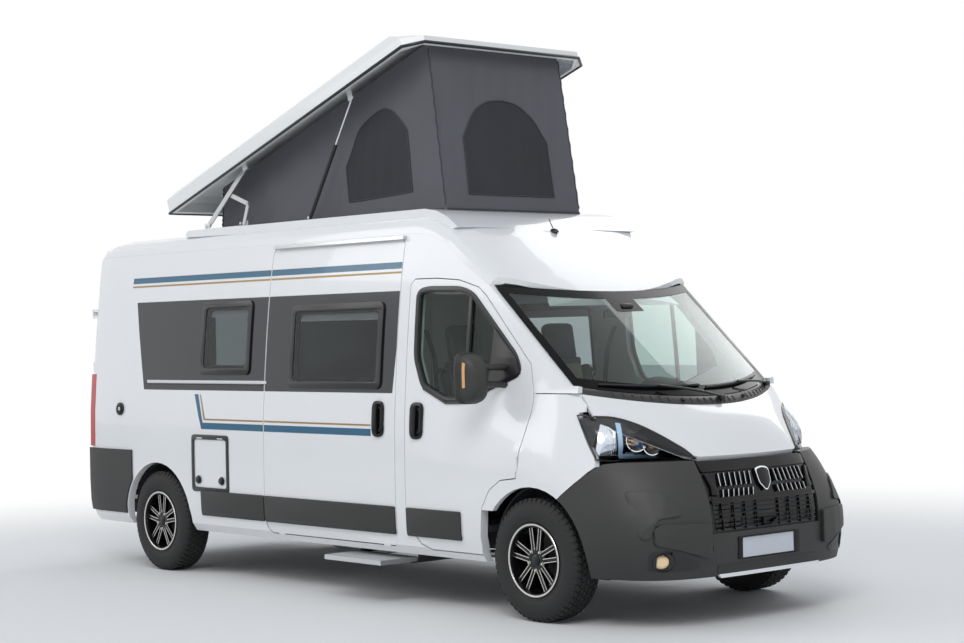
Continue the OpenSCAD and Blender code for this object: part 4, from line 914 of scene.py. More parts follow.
for side in (-1, 1):
    end = side + 1
    for k in range(7):
        y = 0.096 + 0.042 * k
        for name, z0, z1 in (("fin", 0.800, 0.872), ("finlet", 0.738, 0.780)):
            for part, low, high, lift, thick, material, edge in (
                    ("", 0.0, FIN_WIDTH, 0.003, 0.016, gloss_black, 0.003),
                    ("_edge", 0.010, 0.0135, 0.0175, 0.003, lamp_chrome, 0.0)):
                fin = [(y + low + FIN_SLANT, z0), (y + high + FIN_SLANT, z0), (y + high, z1), (y + low, z1)]
                front(f"{name}{part}_{k}_{end}", [mirrored(fin, side)], lift, thick, material,
                      edge=edge, cuts=())
    front(f"grille_blade_{end}", [mirrored(blade, side)], 0.003, 0.016, gloss_black, edge=0.003)
    front(f"bumper_cheek_{end}", [rounded(mirrored(cheek, side), 0.028)], 0.0006, 0.013,
          grained_black, edge=0.006,
          slot="bumper_plastic", cuts=bumper_cuts + [(1, 0.53 + 0.03 * k) for k in range(9)])
    front(f"bumper_jaw_{end}", [rounded(mirrored(jaw, side), 0.02)], 0.0006, 0.022, grained_black, edge=0.010,
          slot="bumper_plastic", cuts=bumper_cuts + [(1, 0.40 + 0.03 * k) for k in range(8)])
    front(f"fog_hollow_{end}", [rounded(mirrored(hollow, side), 0.025)], 0.0006, 0.003, satin_black,
          slot="bumper_plastic", cuts=bumper_cuts, away=2.80)
    front(f"fog_ring_{end}", [disc(side * FOG_Y, FOG_Z, 0.056), disc(side * FOG_Y, FOG_Z, 0.040)], 0.001,
          0.006, gloss_black, edge=0.002, slot="bumper_plastic", away=2.82)
    inner, outer = (nose_tree.ray_cast(Vector((3.4, side * y, FOG_Z)), Vector((-1, 0, 0)))[0].x
                    for y in (0.735, 0.842))
    slope = side * (outer - inner) / 0.107
    middle = Vector(((inner + outer) / 2 - 0.020, side * FOG_Y, FOG_Z))

    def fog_point(a, b):
        """A place on the domed fog lens, turned to follow the corner of the bumper."""
        r = FOG_LENS * math.sin(math.pi * b / 2)
        y, z = r * math.cos(2 * math.pi * a), r * math.sin(2 * math.pi * a)
        return middle + Vector((0.014 * math.cos(math.pi * b / 2) + slope * y, y, z))

    # Fog lens in painted light: its bright warm colour stands in for light, not for the lens itself.
    patch(f"fog_lens_{end}", fog_point, 28, 8, 0.002, painted_light_fog_lens)
shield_rim = rounded([(0, 0.748), (0.052, 0.800), (0.060, 0.884), (0, 0.896), (-0.060, 0.884),
                      (-0.052, 0.800)], 0.02)
shield = [(y * 0.86, 0.826 + (z - 0.826) * 0.88) for y, z in shield_rim]
front("shield_rim", [shield_rim], 0.016, 0.010, lamp_chrome, edge=0.002, cuts=())
front("shield_face", [shield], 0.0262, 0.003, gloss_black, edge=0.001, cuts=())
plate_cuts = steps_of(-0.272, 0.272, 0.05, 0)
front("plate_back", [flared(0.272, 0.272, 0.372, 0.504, 0.01)], 0.0, 0.006, gloss_black, edge=0.001,
      slot="bumper_plastic", cuts=plate_cuts)
front("plate_blank", [flared(0.260, 0.260, 0.380, 0.494, 0.008)], 0.006, 0.0016, plate_pale,
      slot="bumper_plastic", cuts=plate_cuts)
front("air_slot", [flared(0.440, 0.440, 0.305, 0.355, 0.008)], 0.0008, 0.002, satin_black,
      slot="bumper_plastic")
front("bright_lip", [flared(0.436, 0.446, 0.282, 0.304, 0.004)], 0.001, 0.022, lamp_chrome, edge=0.005,
      slot="bumper_plastic")


# ---------------------------------------------------------------- wheels and tyres
# Cast alloy wheels in gloss black with turned bright edges, five bolts and a plain cap. The tyres
# are all-season van tyres with blocks in five rows and lugs that wrap over the shoulders.
machined = finish("turned_alloy", (0.72, 0.70, 0.66), 0.25, metal=0.9, grain=500, bump=0.0001, vary=0.1)
TREAD_COUNT = 54
FRONT_AXLE, REAR_AXLE, HALF_TRACK, AXLE_HEIGHT = 2.051, -1.984, 0.9, 0.365
SPOKE_ROOT, SPOKE_END, SPOKE_LINE = 60, 197, 4.6


def around(x, side, lateral, r, turn):
    """A place round a wheel: turn in radians from straight up, lateral outward from its middle."""
    return Vector((x + r * math.sin(turn), side * (HALF_TRACK + lateral), AXLE_HEIGHT + r * math.cos(turn)))


def tread_row(name, lateral, width, low, high, length, lean, count, shift, fall=0.0):
    """One block of the tread on a wheel at the frame's origin, copied round the tyre."""
    bpy.ops.object.select_all(action="DESELECT")
    bpy.ops.mesh.primitive_cube_add(size=1)
    piece = bpy.context.object
    piece.name = name
    for vertex in piece.data.vertices:
        sx, sy, sz = vertex.co
        narrow = 0.90 if sz > 0 else 1.0
        vertex.co = (length * sx * narrow + lean * sy, lateral + width * sy * narrow,
                     low + (high - low) * (sz + 0.5) - fall * width * sy)
    use(piece, "BEVEL", width=0.0016, segments=1, limit_method="ANGLE", angle_limit=math.radians(40))
    select_only(piece)
    bpy.ops.transform.rotate(value=shift, orient_axis="Y", center_override=(0, 0, 0))
    bpy.ops.object.transform_apply(location=True, rotation=True, scale=True)
    bpy.ops.object.mode_set(mode="EDIT")
    bpy.ops.mesh.select_all(action="SELECT")
    bpy.ops.mesh.spin(steps=count - 1, dupli=True, angle=2 * math.pi * (count - 1) / count, center=(0, 0, 0),
                      axis=(0, 1, 0))
    bpy.ops.object.mode_set(mode="OBJECT")
    return piece


rows = [tread_row(f"tread_{k}", lateral, 0.029, 0.3540, 0.3645, 0.0335, lean, TREAD_COUNT, 0.058 * (k % 2))
        for k, (lateral, lean) in enumerate(((-0.0700, 0.010), (-0.0350, -0.010), (0.0, 0.012),
                                             (0.0350, -0.010), (0.0700, 0.010)))]
for k, side in enumerate((-1, 1)):
    rows.append(tread_row(f"lug_{k}", side * 0.0950, 0.0180, 0.3340, 0.3463, 0.029, 0.0,
                          TREAD_COUNT, 0.03 * k, side * 1.25))
    rows.append(tread_row(f"lug_low_{k}", side * 0.1035, 0.0085, 0.314, 0.333, 0.022, 0.0,
                          TREAD_COUNT // 2, 0.03 * k, side * 1.4))
select_only(rows[0])
for row in rows:
    row.select_set(True)
bpy.ops.object.join()
tread = bpy.context.object
wall_line = ((0.2120, -0.0960), (0.2240, -0.1040), (0.2360, -0.1085), (0.2400, -0.1070), (0.2440, -0.1095),
             (0.2700, -0.1125),
             (0.3000, -0.1120), (0.3260, -0.1060), (0.3420, -0.0960), (0.3530, -0.0820), (0.3570, -0.0500),
             (0.3580, 0.0))
tyre_line = list(wall_line) + [(r, -y) for r, y in wall_line[-2::-1]]
for x, side, word in ((FRONT_AXLE, -1, "front_right"), (FRONT_AXLE, 1, "front_left"),
                      (REAR_AXLE, -1, "rear_right"), (REAR_AXLE, 1, "rear_left")):
    body = "wheel_" + word

    def ring_of(name, line, material, columns=64, spot=None):
        """A turned piece from (radius, lateral) points, about the axle or about a spot (radius, turn)."""
        count = len(line) - 1

        def place(a, b):
            k = min(count - 1, int(b * count + 1e-6))
            f = b * count - k
            r = line[k][0] * (1 - f) + line[k + 1][0] * f
            lateral = line[k][1] * (1 - f) + line[k + 1][1] * f
            point = around(x, side, lateral, r, side * 2 * math.pi * a)
            return point + Vector((spot[0] * math.sin(spot[1]), 0,
                                   spot[0] * math.cos(spot[1]))) if spot else point
        return patch(name + "_" + word, place, columns, count, 0.0, material, body)

    carcass = ring_of("tyre_wall", tyre_line, tyre_rubber, 96)
    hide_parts("tyre_" + word)
    blocks = tread.copy()
    blocks.data = tread.data.copy()
    blocks.name = "tyre_tread_" + word
    bpy.context.scene.collection.objects.link(blocks)
    for vertex in blocks.data.vertices:
        vertex.co = vertex.co + Vector((x, side * HALF_TRACK, AXLE_HEIGHT))
    give(blocks, tyre_rubber, body, smooth=20)
    ring_of("rim_bright_ring",
            ((0.2030, 0.1065), (0.2070, 0.1100), (0.2150, 0.1105), (0.2180, 0.1070)), machined, 96)
    ring_of("hub_cap", ((0.0330, 0.0830), (0.0320, 0.0900), (0.0270, 0.0935), (0.0, 0.0945)), wheel_black, 32)
    ring_of("hub_cap_line", ((0.0345, 0.0846), (0.0355, 0.0866), (0.0370, 0.0846)), machined, 32)
    for k in range(5):
        spot = (0.059, math.radians(36 + 72 * k))
        ring_of(f"bolt_{k}", ((0.0105, 0.0845), (0.0105, 0.0870), (0.0082, 0.0872), (0.0078, 0.0950),
                              (0.0, 0.0955)),
                machined, 6, spot=spot)
    edges = []
    for k in range(5):
        turn = math.radians(72 * k)
        for sign in (-1, 1):
            for low, high in ((7, 27), (29.5, 49.5)):
                strip = [(SPOKE_ROOT, sign * low), (SPOKE_END, sign * high),
                         (SPOKE_END, sign * (high + SPOKE_LINE)), (SPOKE_ROOT, sign * (low + SPOKE_LINE))]
                edges.append([(r * math.sin(turn) / 1000 + w * math.cos(turn) / 1000,
                               r * math.cos(turn) / 1000 - w * math.sin(turn) / 1000) for r, w in strip])
    bright = cut_sheet("spoke_edges_" + word, edges)
    use(bright, "SOLIDIFY", thickness=0.0022, offset=1.0)
    for vertex in bright.data.vertices:
        vx, vy, vz = vertex.co
        vertex.co = (x + vx, side * (0.9847 - vy), AXLE_HEIGHT + vz)
    if side > 0:
        bright.data.flip_normals()
    give(bright, machined, body)
bpy.data.objects.remove(tread)


# ---------------------------------------------------------------- door mirrors
# Moulded black cases on two short arms bolted to the door's corner plate. The glass faces the rear,
# ribs run round the case and an amber turn lamp sits in its outer face.
mirror_glass = finish("mirror_glass", (0.80, 0.83, 0.86), 0.03, metal=1.0, grain=60, bump=0.00002)
CASE_BACK, CASE_Y, CASE_Z = 1.652, 1.156, 1.440
CASE_HALF_WIDTH, CASE_HALF_HEIGHT, CASE_DEPTH = 0.094, 0.152, 0.140
CASE_COLUMNS = 56
for side, word in ((-1, "right"), (1, "left")):
    door = "cab_door_" + word

    def case_point(a, b, swell=0.0):
        """A place on the case: a runs round it, b from its rear rim at 0 to its nose at 1."""
        turn = 2 * math.pi * a * side
        size = max(0.0, 1 - b ** 2.6) ** 0.5
        cy = math.copysign(abs(math.cos(turn)) ** 0.5, math.cos(turn))
        cz = math.copysign(abs(math.sin(turn)) ** 0.5, math.sin(turn))
        return Vector((CASE_BACK + CASE_DEPTH * b,
                       side * (CASE_Y - 0.02 * b + (CASE_HALF_WIDTH + swell) * size * cy),
                       CASE_Z - 0.015 * b + (CASE_HALF_HEIGHT + swell) * size * cz))

    case = patch("mirror_case_" + word, case_point, CASE_COLUMNS, 18, 0.0, grained_black, door)
    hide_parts("mirror_" + word)
    patch("mirror_rim_" + word,
          lambda a, b: case_point(a, 0).lerp(
              Vector((CASE_BACK + 0.006 * b, side * CASE_Y, CASE_Z)), 0.10 * b),
          CASE_COLUMNS, 2, -0.002, grained_black, door)
    glass_middle = Vector((CASE_BACK + 0.003, side * CASE_Y, CASE_Z))
    patch("mirror_glass_" + word,
          lambda a, b: glass_middle.lerp(case_point(-a, 0), 0.90 * b) + Vector((0.0035, 0, 0)),
          CASE_COLUMNS, 4, 0.0, mirror_glass, door)
    for k in range(3):
        rib = [case_point(j / CASE_COLUMNS, 0.10 + 0.09 * k, 0.001) for j in range(CASE_COLUMNS)]
        tube(f"mirror_rib_{k}_{word}", rib, 0.0022, grained_black, door,
             cyclic=True, steps=1)
    lamp_from, lamp_by = (0.02, -0.10) if side < 0 else (-0.08, 0.10)
    patch("mirror_turn_lamp_" + word,
          lambda a, b: case_point(lamp_from + lamp_by * a, 0.42 + 0.12 * b, 0.002),
          8, 3, 0.002, amber, door)
    for k, (z, rise) in enumerate(((1.392, 0.012), (1.500, 0.0))):
        patch(f"mirror_arm_{k}_{word}", lambda a, b: Vector((
            1.742 + 0.030 * math.cos(2 * math.pi * a) - 0.02 * b, side * (0.905 + 0.215 * b),
            z + rise * b + (0.021 - 0.004 * b) * math.sin(2 * math.pi * a * side))),
              20, 6, 0.0, grained_black, door)


# ---------------------------------------------------------------- roof tent and shell
# The shell is glass-fibre with a black rubber edge. A tent of coated cotton canvas is clamped under
# it and to the roof frame, with zipped arched mesh windows at the front and sides and sewn corners.
canvas_mesh = finish("tent_window_mesh", (0.035, 0.036, 0.042), 0.95, grain=1600, bump=0.0005, vary=0.3)
canvas_piping = finish("tent_piping", (0.05, 0.051, 0.058), 0.85, grain=900, bump=0.0003, vary=0.2)
OPEN = math.radians(18.3)
hinge = Vector((-1.1783, 0, 2.9290))


def on_shell(s, y, t):
    """A place in the shell's own axes: s forward from its hinge, y across and t up from its edge."""
    return hinge + Vector((s * math.cos(OPEN) - t * math.sin(OPEN), y,
                           s * math.sin(OPEN) + t * math.cos(OPEN)))


low_edge = []
for vertex in nodes["pop_roof"].data.vertices:
    away = vertex.co - hinge
    s0 = away.x * math.cos(OPEN) + away.z * math.sin(OPEN)
    t0 = -away.x * math.sin(OPEN) + away.z * math.cos(OPEN)
    if 0.005 < t0 < 0.035:
        low_edge.append(Vector((s0, away.y)))
order = geometry.convex_hull_2d(low_edge)
rim_line = [on_shell(low_edge[i].x, low_edge[i].y, 0.014) for i in order]
tube("shell_rubber", rim_line, 0.011, frame_black, "roof_shell", cyclic=True)
TENT_REAR, TENT_FRONT, TENT_HALF = -1.686, 0.864, 0.600
TENT_FOOT, TENT_TOP, TENT_TOP_FRONT, ROOF_SLOPE = 2.5078, 3.612, 0.690, 0.3307
TENT_SIDE, TENT_END = 2.550, 1.200
tent_line = ((TENT_REAR, -TENT_HALF), (TENT_FRONT, -TENT_HALF), (TENT_FRONT, TENT_HALF),
             (TENT_REAR, TENT_HALF), (TENT_REAR, -TENT_HALF))
tent_runs = (TENT_SIDE, TENT_END, TENT_SIDE, TENT_END)


def tent_point(a, b, lift=0.0):
    """a runs round the tent from its right rear corner, b from the roof frame up to the shell."""
    way = a * sum(tent_runs)
    k = 0
    while k < 3 and way > tent_runs[k]:
        way -= tent_runs[k]
        k += 1
    share = min(1.0, way / tent_runs[k])
    x = tent_line[k][0] + (tent_line[k + 1][0] - tent_line[k][0]) * share
    y = tent_line[k][1] + (tent_line[k + 1][1] - tent_line[k][1]) * share
    top_x = TENT_REAR + (x - TENT_REAR) * (TENT_TOP_FRONT - TENT_REAR) / TENT_SIDE
    top = Vector((top_x, y * 0.972, TENT_TOP - ROOF_SLOPE * (TENT_TOP_FRONT - top_x)))
    point = Vector((x, y, TENT_FOOT)).lerp(top, b)
    outward = (Vector((0, -1, 0)), Vector((1, 0, 0.15)), Vector((0, 1, 0)), Vector((-1, 0, 0)))[k]
    hold = math.sin(math.pi * b) ** 0.6 * math.sin(math.pi * share) ** 0.35 if 0 < share < 1 and 0 < b < 1 else 0.0
    fold = (0.0050 * math.sin(17 * way + 5 * b + k) + 0.0032 * math.sin(41 * way - 9 * b + 2 * k)
            + 0.0050 * math.sin(9 * b - 5 * way)) * hold
    near = min(share, 1 - share) * tent_runs[k]
    ruche = 0.0035 * math.sin(62 * b) * math.exp(-near / 0.05) * (1 if 0.02 < b < 0.98 else 0)
    return point + outward * (fold - 0.008 * hold + ruche + lift)


cloth = patch("tent_cloth", tent_point, 300, 44, -0.0012, canvas, "body")
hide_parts("tent")
trims = []


def arch_piece(name, run, place_along, base, width, height, side_slope=0.0):
    """An arched window sewn in a panel: its mesh, and the piping round it."""
    start = sum(tent_runs[:run]) / sum(tent_runs)
    span = tent_runs[run] / sum(tent_runs)

    def window_point(u, v, lift):
        arch = height * (1 - 0.42 * abs(2 * u - 1) ** 2.6) + side_slope * (u - 0.5)
        share = place_along + (u - 0.5) * width
        return tent_point(start + span * share, base + v * arch, lift)

    mesh = patch(name + "_mesh", lambda a, b: window_point(a, b, 0.0028), 30, 14, -0.0010,
                 canvas_mesh, "body")
    places = ([(k / 20, 0) for k in range(21)] + [(1, k / 8) for k in range(1, 9)]
              + [(1 - k / 30, 1) for k in range(1, 31)] + [(0, 1 - k / 8) for k in range(1, 8)])
    piping = tube(name + "_piping", [window_point(u, v, 0.004) for u, v in places], 0.0045,
                  canvas_piping, "body", cyclic=True, steps=2)
    trims.extend((mesh, piping))


arch_piece("tent_front_window", 1, 0.5, 0.10, 0.64, 0.58)
arch_piece("tent_right_window", 0, 0.74, 0.14, 0.27, 0.62, 0.10)
arch_piece("tent_left_window", 2, 0.26, 0.14, 0.27, 0.62, -0.10)
for k in range(4):
    corner = sum(tent_runs[:k]) / sum(tent_runs)
    trims.append(tube(f"tent_corner_seam_{k}",
                      [tent_point(corner, b / 30, 0.003) for b in range(1, 30)], 0.005,
                      canvas_piping, "body", steps=2))
trims.append(tube("tent_hem", [tent_point(k / 120, 0.006, 0.003) for k in range(120)], 0.006,
                  canvas_piping, "body", cyclic=True, steps=2))
for piece in [cloth] + trims:
    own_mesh(piece)


# ---------------------------------------------------------------- cab seats and mattresses
# Foam pads under sewn covers on steel boxes. Dark textured leather makes the bolsters and head
# areas, and beige fabric the middle panels. The rear bed has three loose foam mattresses.
seat_dark = finish("seat_leather_dark", (0.030, 0.036, 0.040), 0.55, grain=500, bump=0.0004, vary=0.15)
seat_beige = finish("seat_fabric_beige", (0.42, 0.37, 0.30), 0.85, grain=1100, bump=0.0004, vary=0.10)
mattress_grey = finish("mattress_fabric", (0.30, 0.31, 0.33), 0.9, grain=250, bump=0.0001, vary=0.10)
CLOTH_FRAMES = 20


def stuffed(name, size, voxel, cap):
    """A stuffed cover about the origin: a shaped block, blown up by a cloth run but never past cap."""
    bpy.ops.object.select_all(action="DESELECT")
    bpy.ops.mesh.primitive_cube_add(size=1)
    piece = bpy.context.object
    piece.name = name
    for vertex in piece.data.vertices:
        vertex.co = [c * (d - 0.3 * cap) for c, d in zip(vertex.co, size)]
    use(piece, "BEVEL", width=min(size) * 0.28, segments=3, limit_method="NONE")
    use(piece, "REMESH", mode="VOXEL", voxel_size=voxel, use_smooth_shade=True)
    start = [v.co.copy() for v in piece.data.vertices]
    room = bpy.data.scenes.new("cloth_room")
    room.collection.objects.link(piece)
    cloth = piece.modifiers.new("cloth", "CLOTH")
    cloth.settings.use_pressure = True
    cloth.settings.uniform_pressure_force = 4
    cloth.settings.effector_weights.gravity = 0
    cloth.point_cache.frame_end = CLOTH_FRAMES
    for number in range(1, CLOTH_FRAMES + 1):
        room.frame_set(number)
    blown = piece.evaluated_get(room.view_layers[0].depsgraph).data
    moved = [v.co.copy() for v in blown.vertices]
    piece.modifiers.remove(cloth)
    bpy.data.scenes.remove(room)
    for vertex, before, after in zip(piece.data.vertices, start, moved):
        step = after - before
        vertex.co = before + step * min(1.0, cap / max(step.length, 1e-9))
    use(piece, "SMOOTH", factor=0.5, iterations=4)
    use(piece, "SUBSURF", levels=1, render_levels=1)
    return piece


def laid_pad(pad, name, material, place, body="body"):
    """A copy of a pad with each point put in its place."""
    piece = pad.copy()
    piece.data = pad.data.copy()
    piece.name = name
    bpy.context.scene.collection.objects.link(piece)
    for vertex in piece.data.vertices:
        vertex.co = place(vertex.co)
    give(piece, material, body, smooth=60)
    return piece


pads = {"cushion": stuffed("pad_cushion", (0.490, 0.330, 0.125), 0.022, 0.020),
        "bolster": stuffed("pad_bolster", (0.480, 0.085, 0.120), 0.016, 0.014),
        "back": stuffed("pad_back", (0.115, 0.310, 0.640), 0.022, 0.018),
        "wing": stuffed("pad_wing", (0.130, 0.085, 0.590), 0.016, 0.014),
        "head": stuffed("pad_head", (0.105, 0.262, 0.262), 0.016, 0.014),
        "mattress": stuffed("pad_mattress", (0.600, 1.700, 0.095), 0.036, 0.022)}


def leaned(x0, z0, tilt, y0):
    """Places a pad's points at a middle, leaned backward by tilt."""
    c, d = math.cos(tilt), math.sin(tilt)
    return lambda p: Vector((x0 + p.x * c - p.z * d, y0 + p.y, z0 + p.x * d + p.z * c))


BACK_LEAN, HEAD_LEAN, CUSHION_LEAN = math.radians(17.0), math.radians(10), 0.04
SEAT_Y = 0.43
for side, word in ((-1, "right"), (1, "left")):
    y = side * SEAT_Y
    laid_pad(pads["cushion"], "seat_cushion_" + word, seat_beige, leaned(1.248, 0.838, CUSHION_LEAN, y))
    laid_pad(pads["back"], "seat_back_" + word, seat_beige, leaned(0.925, 1.190, BACK_LEAN, y))
    for sign, end in ((-1, "a"), (1, "b")):
        laid_pad(pads["bolster"], f"seat_bolster_{word}_{end}", seat_dark,
                 leaned(1.243, 0.850, CUSHION_LEAN, y + sign * 0.190))
        laid_pad(pads["wing"], f"seat_wing_{word}_{end}", seat_dark,
                 leaned(0.938, 1.190, BACK_LEAN, y + sign * 0.178))
    laid_pad(pads["head"], "seat_head_" + word, seat_dark, leaned(0.812, 1.630, HEAD_LEAN, y))
    base = block("seat_base_" + word, (1.030, y - 0.200, 0.5405), (1.370, y + 0.200, 0.770),
                 0.012, dark_steel)
    block("seat_shoulder_" + word, (0.795, y - 0.165, 1.462), (0.868, y + 0.165, 1.528), 0.020, seat_dark)
    belt = [Vector((x, side * belt_y, z)) for x, belt_y, z in ((0.930, 0.855, 1.735), (0.925, 0.780, 1.560),
                                                               (0.915, 0.745, 1.200), (0.915, 0.735, 0.760))]

    def belt_point(a, b):
        """A place on the webbing: a across it, b down from its upper guide to its reel."""
        k = min(2, int(b * 3))
        return belt[k].lerp(belt[k + 1], b * 3 - k) + Vector((0.046 * (a - 0.5), 0, 0))

    patch("seat_belt_" + word, belt_point, 3, 24, 0.0014, satin_black)
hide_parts("cab_seats")
for k in range(3):
    laid_pad(pads["mattress"], f"mattress_{k}", mattress_grey,
             lambda p: p + Vector((-2.585 + 0.625 * k, 0, 1.231)))
for pad in pads.values():
    bpy.data.objects.remove(pad)


# ---------------------------------------------------------------- cab and kitchen
# The dashboard is moulded plastic with a hood over the dials, a screen and four air vents. The
# kitchen is laminated board with a dark worktop, rounded cupboard doors and round push knobs.
worktop = finish("worktop_dark_oak", (0.10, 0.075, 0.055), 0.45, grain=60, bump=0.0002, vary=0.3)
screen_black = finish("display_black", (0.008, 0.009, 0.011), 0.08, grain=60, bump=0.00003, shine=0.4)
patch("dash_pad", lambda a, b: Vector((1.752 + 0.490 * (1 - b), 0.792 * (1 - 2 * a) * (1 - 0.05 * (1 - b)),
                                       1.256 + 0.080 * math.sin(math.pi * min(1, 0.04 + 0.98 * b)) ** 0.45
                                       * min(1.0, 12 * a, 12 * (1 - a)) ** 0.4)), 44, 16, -0.006,
                                       grained_black)
patch("dial_hood", lambda a, b: Vector((1.735 + 0.235 * b,
                                        0.42 + 0.185 * math.cos(math.pi * (1 - a)) * (1 - 0.15 * b),
                                        1.300 + 0.02 * b + 0.092 * math.sin(math.pi * a) * (1 - 0.55 * b))),
      28, 8, -0.008, grained_black)
patch("dial_face", lambda a, b: Vector((1.775 + 0.010 * b, 0.42 + 0.165 * (1 - 2 * a),
                                        1.300 + 0.070 * b * math.sin(math.pi * (
    0.08 + 0.84 * a)))), 20, 4, 0.003, screen_black)
block("centre_display", (1.690, -0.115, 1.165), (1.722, 0.115, 1.310), 0.008, screen_black)
block("centre_panel", (1.672, -0.130, 0.935), (1.716, 0.130, 1.150), 0.014, gloss_black)
for k, y in enumerate((-0.760, -0.190, 0.190, 0.770)):
    block(f"vent_frame_{k}", (1.690, y - 0.055, 1.120), (1.716, y + 0.055, 1.185), 0.008, gloss_black)
    for j in range(3):
        block(f"vent_fin_{k}_{j}", (1.683, y - 0.047, 1.134 + 0.015 * j),
              (1.692, y + 0.047, 1.138 + 0.015 * j), 0.0012, lamp_chrome)
block("glove_lid", (1.690, -0.700, 0.945), (1.712, -0.290, 1.095), 0.012, grained_black)
tube("gear_stick", [(1.640, 0.085, 0.960), (1.618, 0.085, 1.010), (1.600, 0.085, 1.050)], 0.010, chrome)
block("gear_knob", (1.574, 0.058, 1.040), (1.624, 0.112, 1.092), 0.018, gloss_black)


def on_wall(name, outline, face_y, thick, material, edge=0.004):
    """A flat piece on an inner wall that faces the right side of the van."""
    piece = cut_sheet(name, outline)
    use(piece, "SOLIDIFY", thickness=thick, offset=1.0)
    use(piece, "BEVEL", width=edge, segments=2, limit_method="ANGLE", angle_limit=math.radians(50))
    for vertex in piece.data.vertices:
        vertex.co.y += face_y
    return give(piece, material, "body")


block("worktop", (-0.566, 0.470, 1.420), (0.646, 0.926, 1.448), 0.006, worktop)
for k in range(3):
    x0 = -0.545 + 0.395 * k
    on_wall(f"cupboard_{k}", [box_outline(x0, x0 + 0.380, 0.985, 1.395, 0.045)], 0.4795, 0.012, pale_board)
    on_wall(f"drawer_{k}", [box_outline(x0, x0 + 0.380, 0.600, 0.960, 0.045)], 0.4795, 0.012, pale_board)
    for z in (1.345, 0.915):
        on_wall(f"push_knob_{k}_{z:.2f}", [disc(x0 + 0.320, z, 0.017, 24)], 0.4675, 0.008,
                frame_black, edge=0.002)
on_wall("wardrobe_door", [box_outline(-0.985, -0.590, 0.620, 2.050, 0.05)], 0.4795, 0.012, pale_board)
on_wall("wardrobe_knob", [disc(-0.640, 1.330, 0.017, 24)], 0.4675, 0.008, frame_black, edge=0.002)


# ---------------------------------------------------------------- rear end
# Tinted panes are bonded outside the steel rear doors. A handle and a blank plate sit on the left
# leaf, upright lamps at the corners, and black step pads on top of the plastic bumper.
rear_tree = shell_of("rear_door_right", "rear_door_left", "roof", "rear_bumper")
rear_glass = glazing("rear_tinted_glass", (0.20, 0.24, 0.24), 0.01)
stop_red = finish("stop_lamp_red", (0.50, 0.012, 0.012), 0.12, coat=0.5, grain=900, bump=0.0002)
clear_lamp = finish("clear_lamp_white", (0.75, 0.76, 0.78), 0.14, coat=0.5, grain=900, bump=0.0002)


def on_rear(name, outlines, lift, thick, material, body="body", edge=0.0):
    """A flat piece cut in the Y-Z plane and laid forward onto the rear doors."""
    piece = cut_sheet(name, [[(-y, z) for y, z in reversed(outline)] for outline in outlines],
                      steps_of(-1.0, 1.0, 0.06, 0) + [(1, z) for z in (1.42, 1.55, 1.75, 1.95)])
    use(piece, "SOLIDIFY", thickness=thick, offset=1.0)
    if edge:
        use(piece, "BEVEL", width=edge, segments=2, limit_method="ANGLE", angle_limit=math.radians(50))
    last = -2.999
    for vertex in piece.data.vertices:
        x, y, z = vertex.co
        hit = rear_tree.ray_cast(Vector((-3.5, -x, z)), Vector((1, 0, 0)))[0]
        last = hit.x if hit and abs(hit.x + 2.98) < 0.09 else last
        vertex.co = (last - lift + y, -x, z)
    return give(piece, material, body)


for side, word in ((-1, "right"), (1, "left")):
    leaf = "rear_leaf_" + word
    inner, outer = sorted((side * 0.105, side * 0.815))
    on_rear("rear_pane_" + word, [box_outline(inner, outer, 1.365, 2.010, 0.07)], 0.003, 0.005,
            rear_glass, leaf, edge=0.001)
    on_rear("rear_band_" + word, [box_outline(inner + 0.001, outer - 0.001, 1.366, 2.009, 0.07),
                                  box_outline(inner + 0.052, outer - 0.052, 1.418, 1.957, 0.05)],
                                  0.0012, 0.0016, band_black,
            leaf)
    segments = ((0.905, 1.010, stop_red, "fog"), (1.016, 1.090, clear_lamp, "reverse"),
                (1.096, 1.170, amber, "turn"), (1.176, 1.434, stop_red, "stop"))
    for low, high, material, part in segments:
        on_side(f"tail_{part}_{word}", [box_outline(-2.940, -2.886, low, high, 0.006)], side, 0.0015,
                0.005, material, edge=0.002)
on_rear("door_handle_base", [box_outline(0.040, 0.155, 1.010, 1.160, 0.02)], 0.001, 0.007, gloss_black,
        "rear_leaf_left", edge=0.003)
on_rear("door_handle_grip", [box_outline(0.052, 0.143, 1.085, 1.130, 0.015)], 0.009, 0.020, grained_black,
        "rear_leaf_left", edge=0.006)
on_rear("rear_plate_rim", [box_outline(0.110, 0.650, 0.640, 0.770, 0.012)], 0.001, 0.008, frame_black,
        "rear_leaf_left", edge=0.003)
on_rear("rear_plate_blank", [box_outline(0.120, 0.640, 0.650, 0.760, 0.008)], 0.0095, 0.0016, plate_pale,
        "rear_leaf_left")
on_rear("door_overlap_strip", [box_outline(-0.018, 0.018, 0.640, 2.180, 0.01)], 0.001, 0.006, frame_black,
        "rear_leaf_left", edge=0.002)
for k in range(9):
    block(f"step_pad_{k}", (-3.004, -0.420 + 0.105 * k - 0.044, 0.5015),
          (-2.935, -0.420 + 0.105 * k + 0.044, 0.5065), 0.002, satin_black)


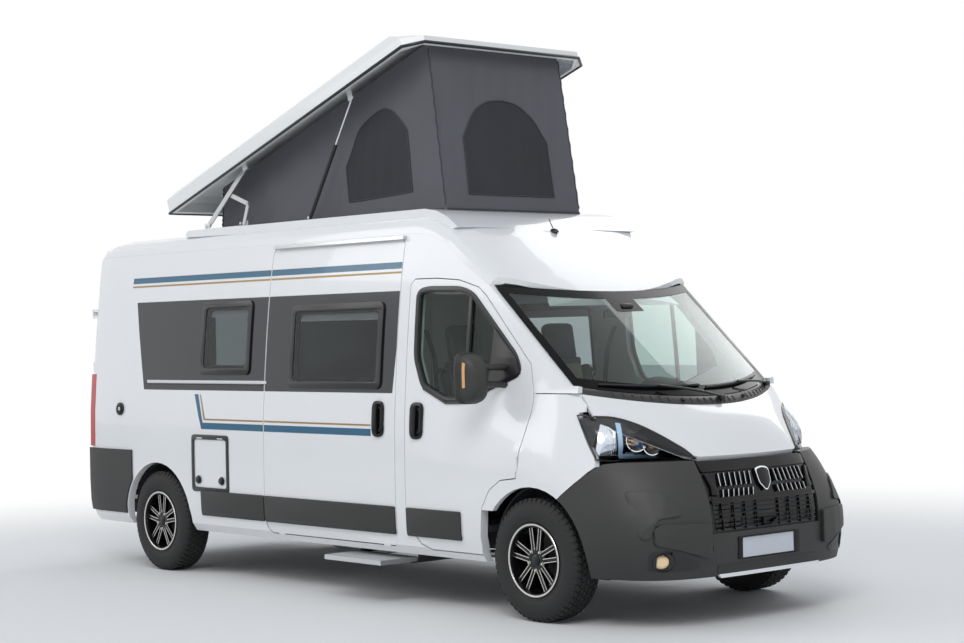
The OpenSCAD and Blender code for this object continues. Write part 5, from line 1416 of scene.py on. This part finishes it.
# ---------------------------------------------------------------- roof fittings and underside
# Zinc-plated bolts hold the roof's arms, links and gas struts. A stub aerial stands on the cab
# roof. Underneath run a steel exhaust with its silencer and single leaf springs at the rear.
roof_tree = shell_of("roof")
BOLT_HEAD = ((0.0115, 0.0), (0.0115, 0.006), (0.0095, 0.0075), (0.0, 0.0078))
bolts = (("arm", -1.671, 2.530, "body", 0.735), ("arm_top", -1.1783, 2.9290, "roof_arms", 0.735),
         ("link", -1.237, 2.530, "body", 0.735), ("middle", -1.404, 2.750, "roof_arms", 0.735),
         ("strut", -0.470, 2.528, "body", 0.700))
for side, word in ((-1, "right"), (1, "left")):
    for part, x, z, body, y in bolts:
        edge_y = max([abs(v.co.y) for name in ("lift_arms", "link_uppers", "link_lowers", "roof",
                                               "strut_tubes")
                      for v in nodes[name].data.vertices
                      if abs(v.co.x - x) < 0.03 and abs(v.co.z - z) < 0.03 and abs(v.co.y) > 0.6] or [y + 0.012])

        def bolt_point(a, b):
            """A place on a six-sided bolt head that stands out from the side of an arm."""
            r, rise = BOLT_HEAD[round(b * 3)]
            turn = 2 * math.pi * a * -side
            return Vector((x + r * math.cos(turn), side * (edge_y + rise), z + r * math.sin(turn)))

        patch(f"bolt_{part}_{word}", bolt_point, 6, 3, 0.0, galvanised, body)
aerial_x = 1.235
top = roof_tree.ray_cast(Vector((aerial_x, 0, 3.0)), Vector((0, 0, -1)))[0].z
patch("aerial_foot", lambda a, b: Vector((aerial_x + 0.040 * math.cos(2 * math.pi * a) * math.cos(math.pi * b / 2),
                                          0.026 * math.sin(2 * math.pi * a) * math.cos(math.pi * b / 2),
                                          top - 0.004 + 0.026 * math.sin(math.pi * b / 2))), 28, 8,
                                          0.0, frame_black)
tube("aerial_rod", [(aerial_x - 0.004, 0, top + 0.016), (aerial_x - 0.045, 0, top + 0.085)],
     0.0035, frame_black)
pipe = [Vector(p) for p in ((1.450, -0.300, 0.300), (0.900, -0.330, 0.265), (0.200, -0.330, 0.262),
                            (-0.700, -0.350, 0.262),
                            (-1.350, -0.420, 0.285), (-2.250, -0.480, 0.300), (-2.720, -0.540, 0.300))]
tube("exhaust_pipe", pipe, 0.027, galvanised)


def silencer_point(a, b):
    """A place on the silencer's oval drum, which closes in at both ends."""
    size = min(1, 9 * b, 9 * (1 - b)) ** 0.5
    return Vector((-0.150 - 0.560 * b, -0.345 + 0.115 * math.cos(2 * math.pi * a) * size,
                   0.268 + 0.070 * math.sin(2 * math.pi * a) * size))

patch("silencer", silencer_point, 32, 24, 0.0, galvanised)
for side, word in ((-1, "right"), (1, "left")):
    for k, (half, drop) in enumerate(((0.640, 0.0), (0.480, 0.013), (0.300, 0.026))):
        patch(f"leaf_spring_{k}_{word}", lambda a, b: Vector((REAR_AXLE + half * (2 * b - 1),
                                                              side * 0.605 + 0.060 * (a - 0.5),
                                                              0.300 - drop + 0.110 * (half * (2 * b - 1) / 0.64) ** 2)),
              2, 24, 0.009, dark_steel)
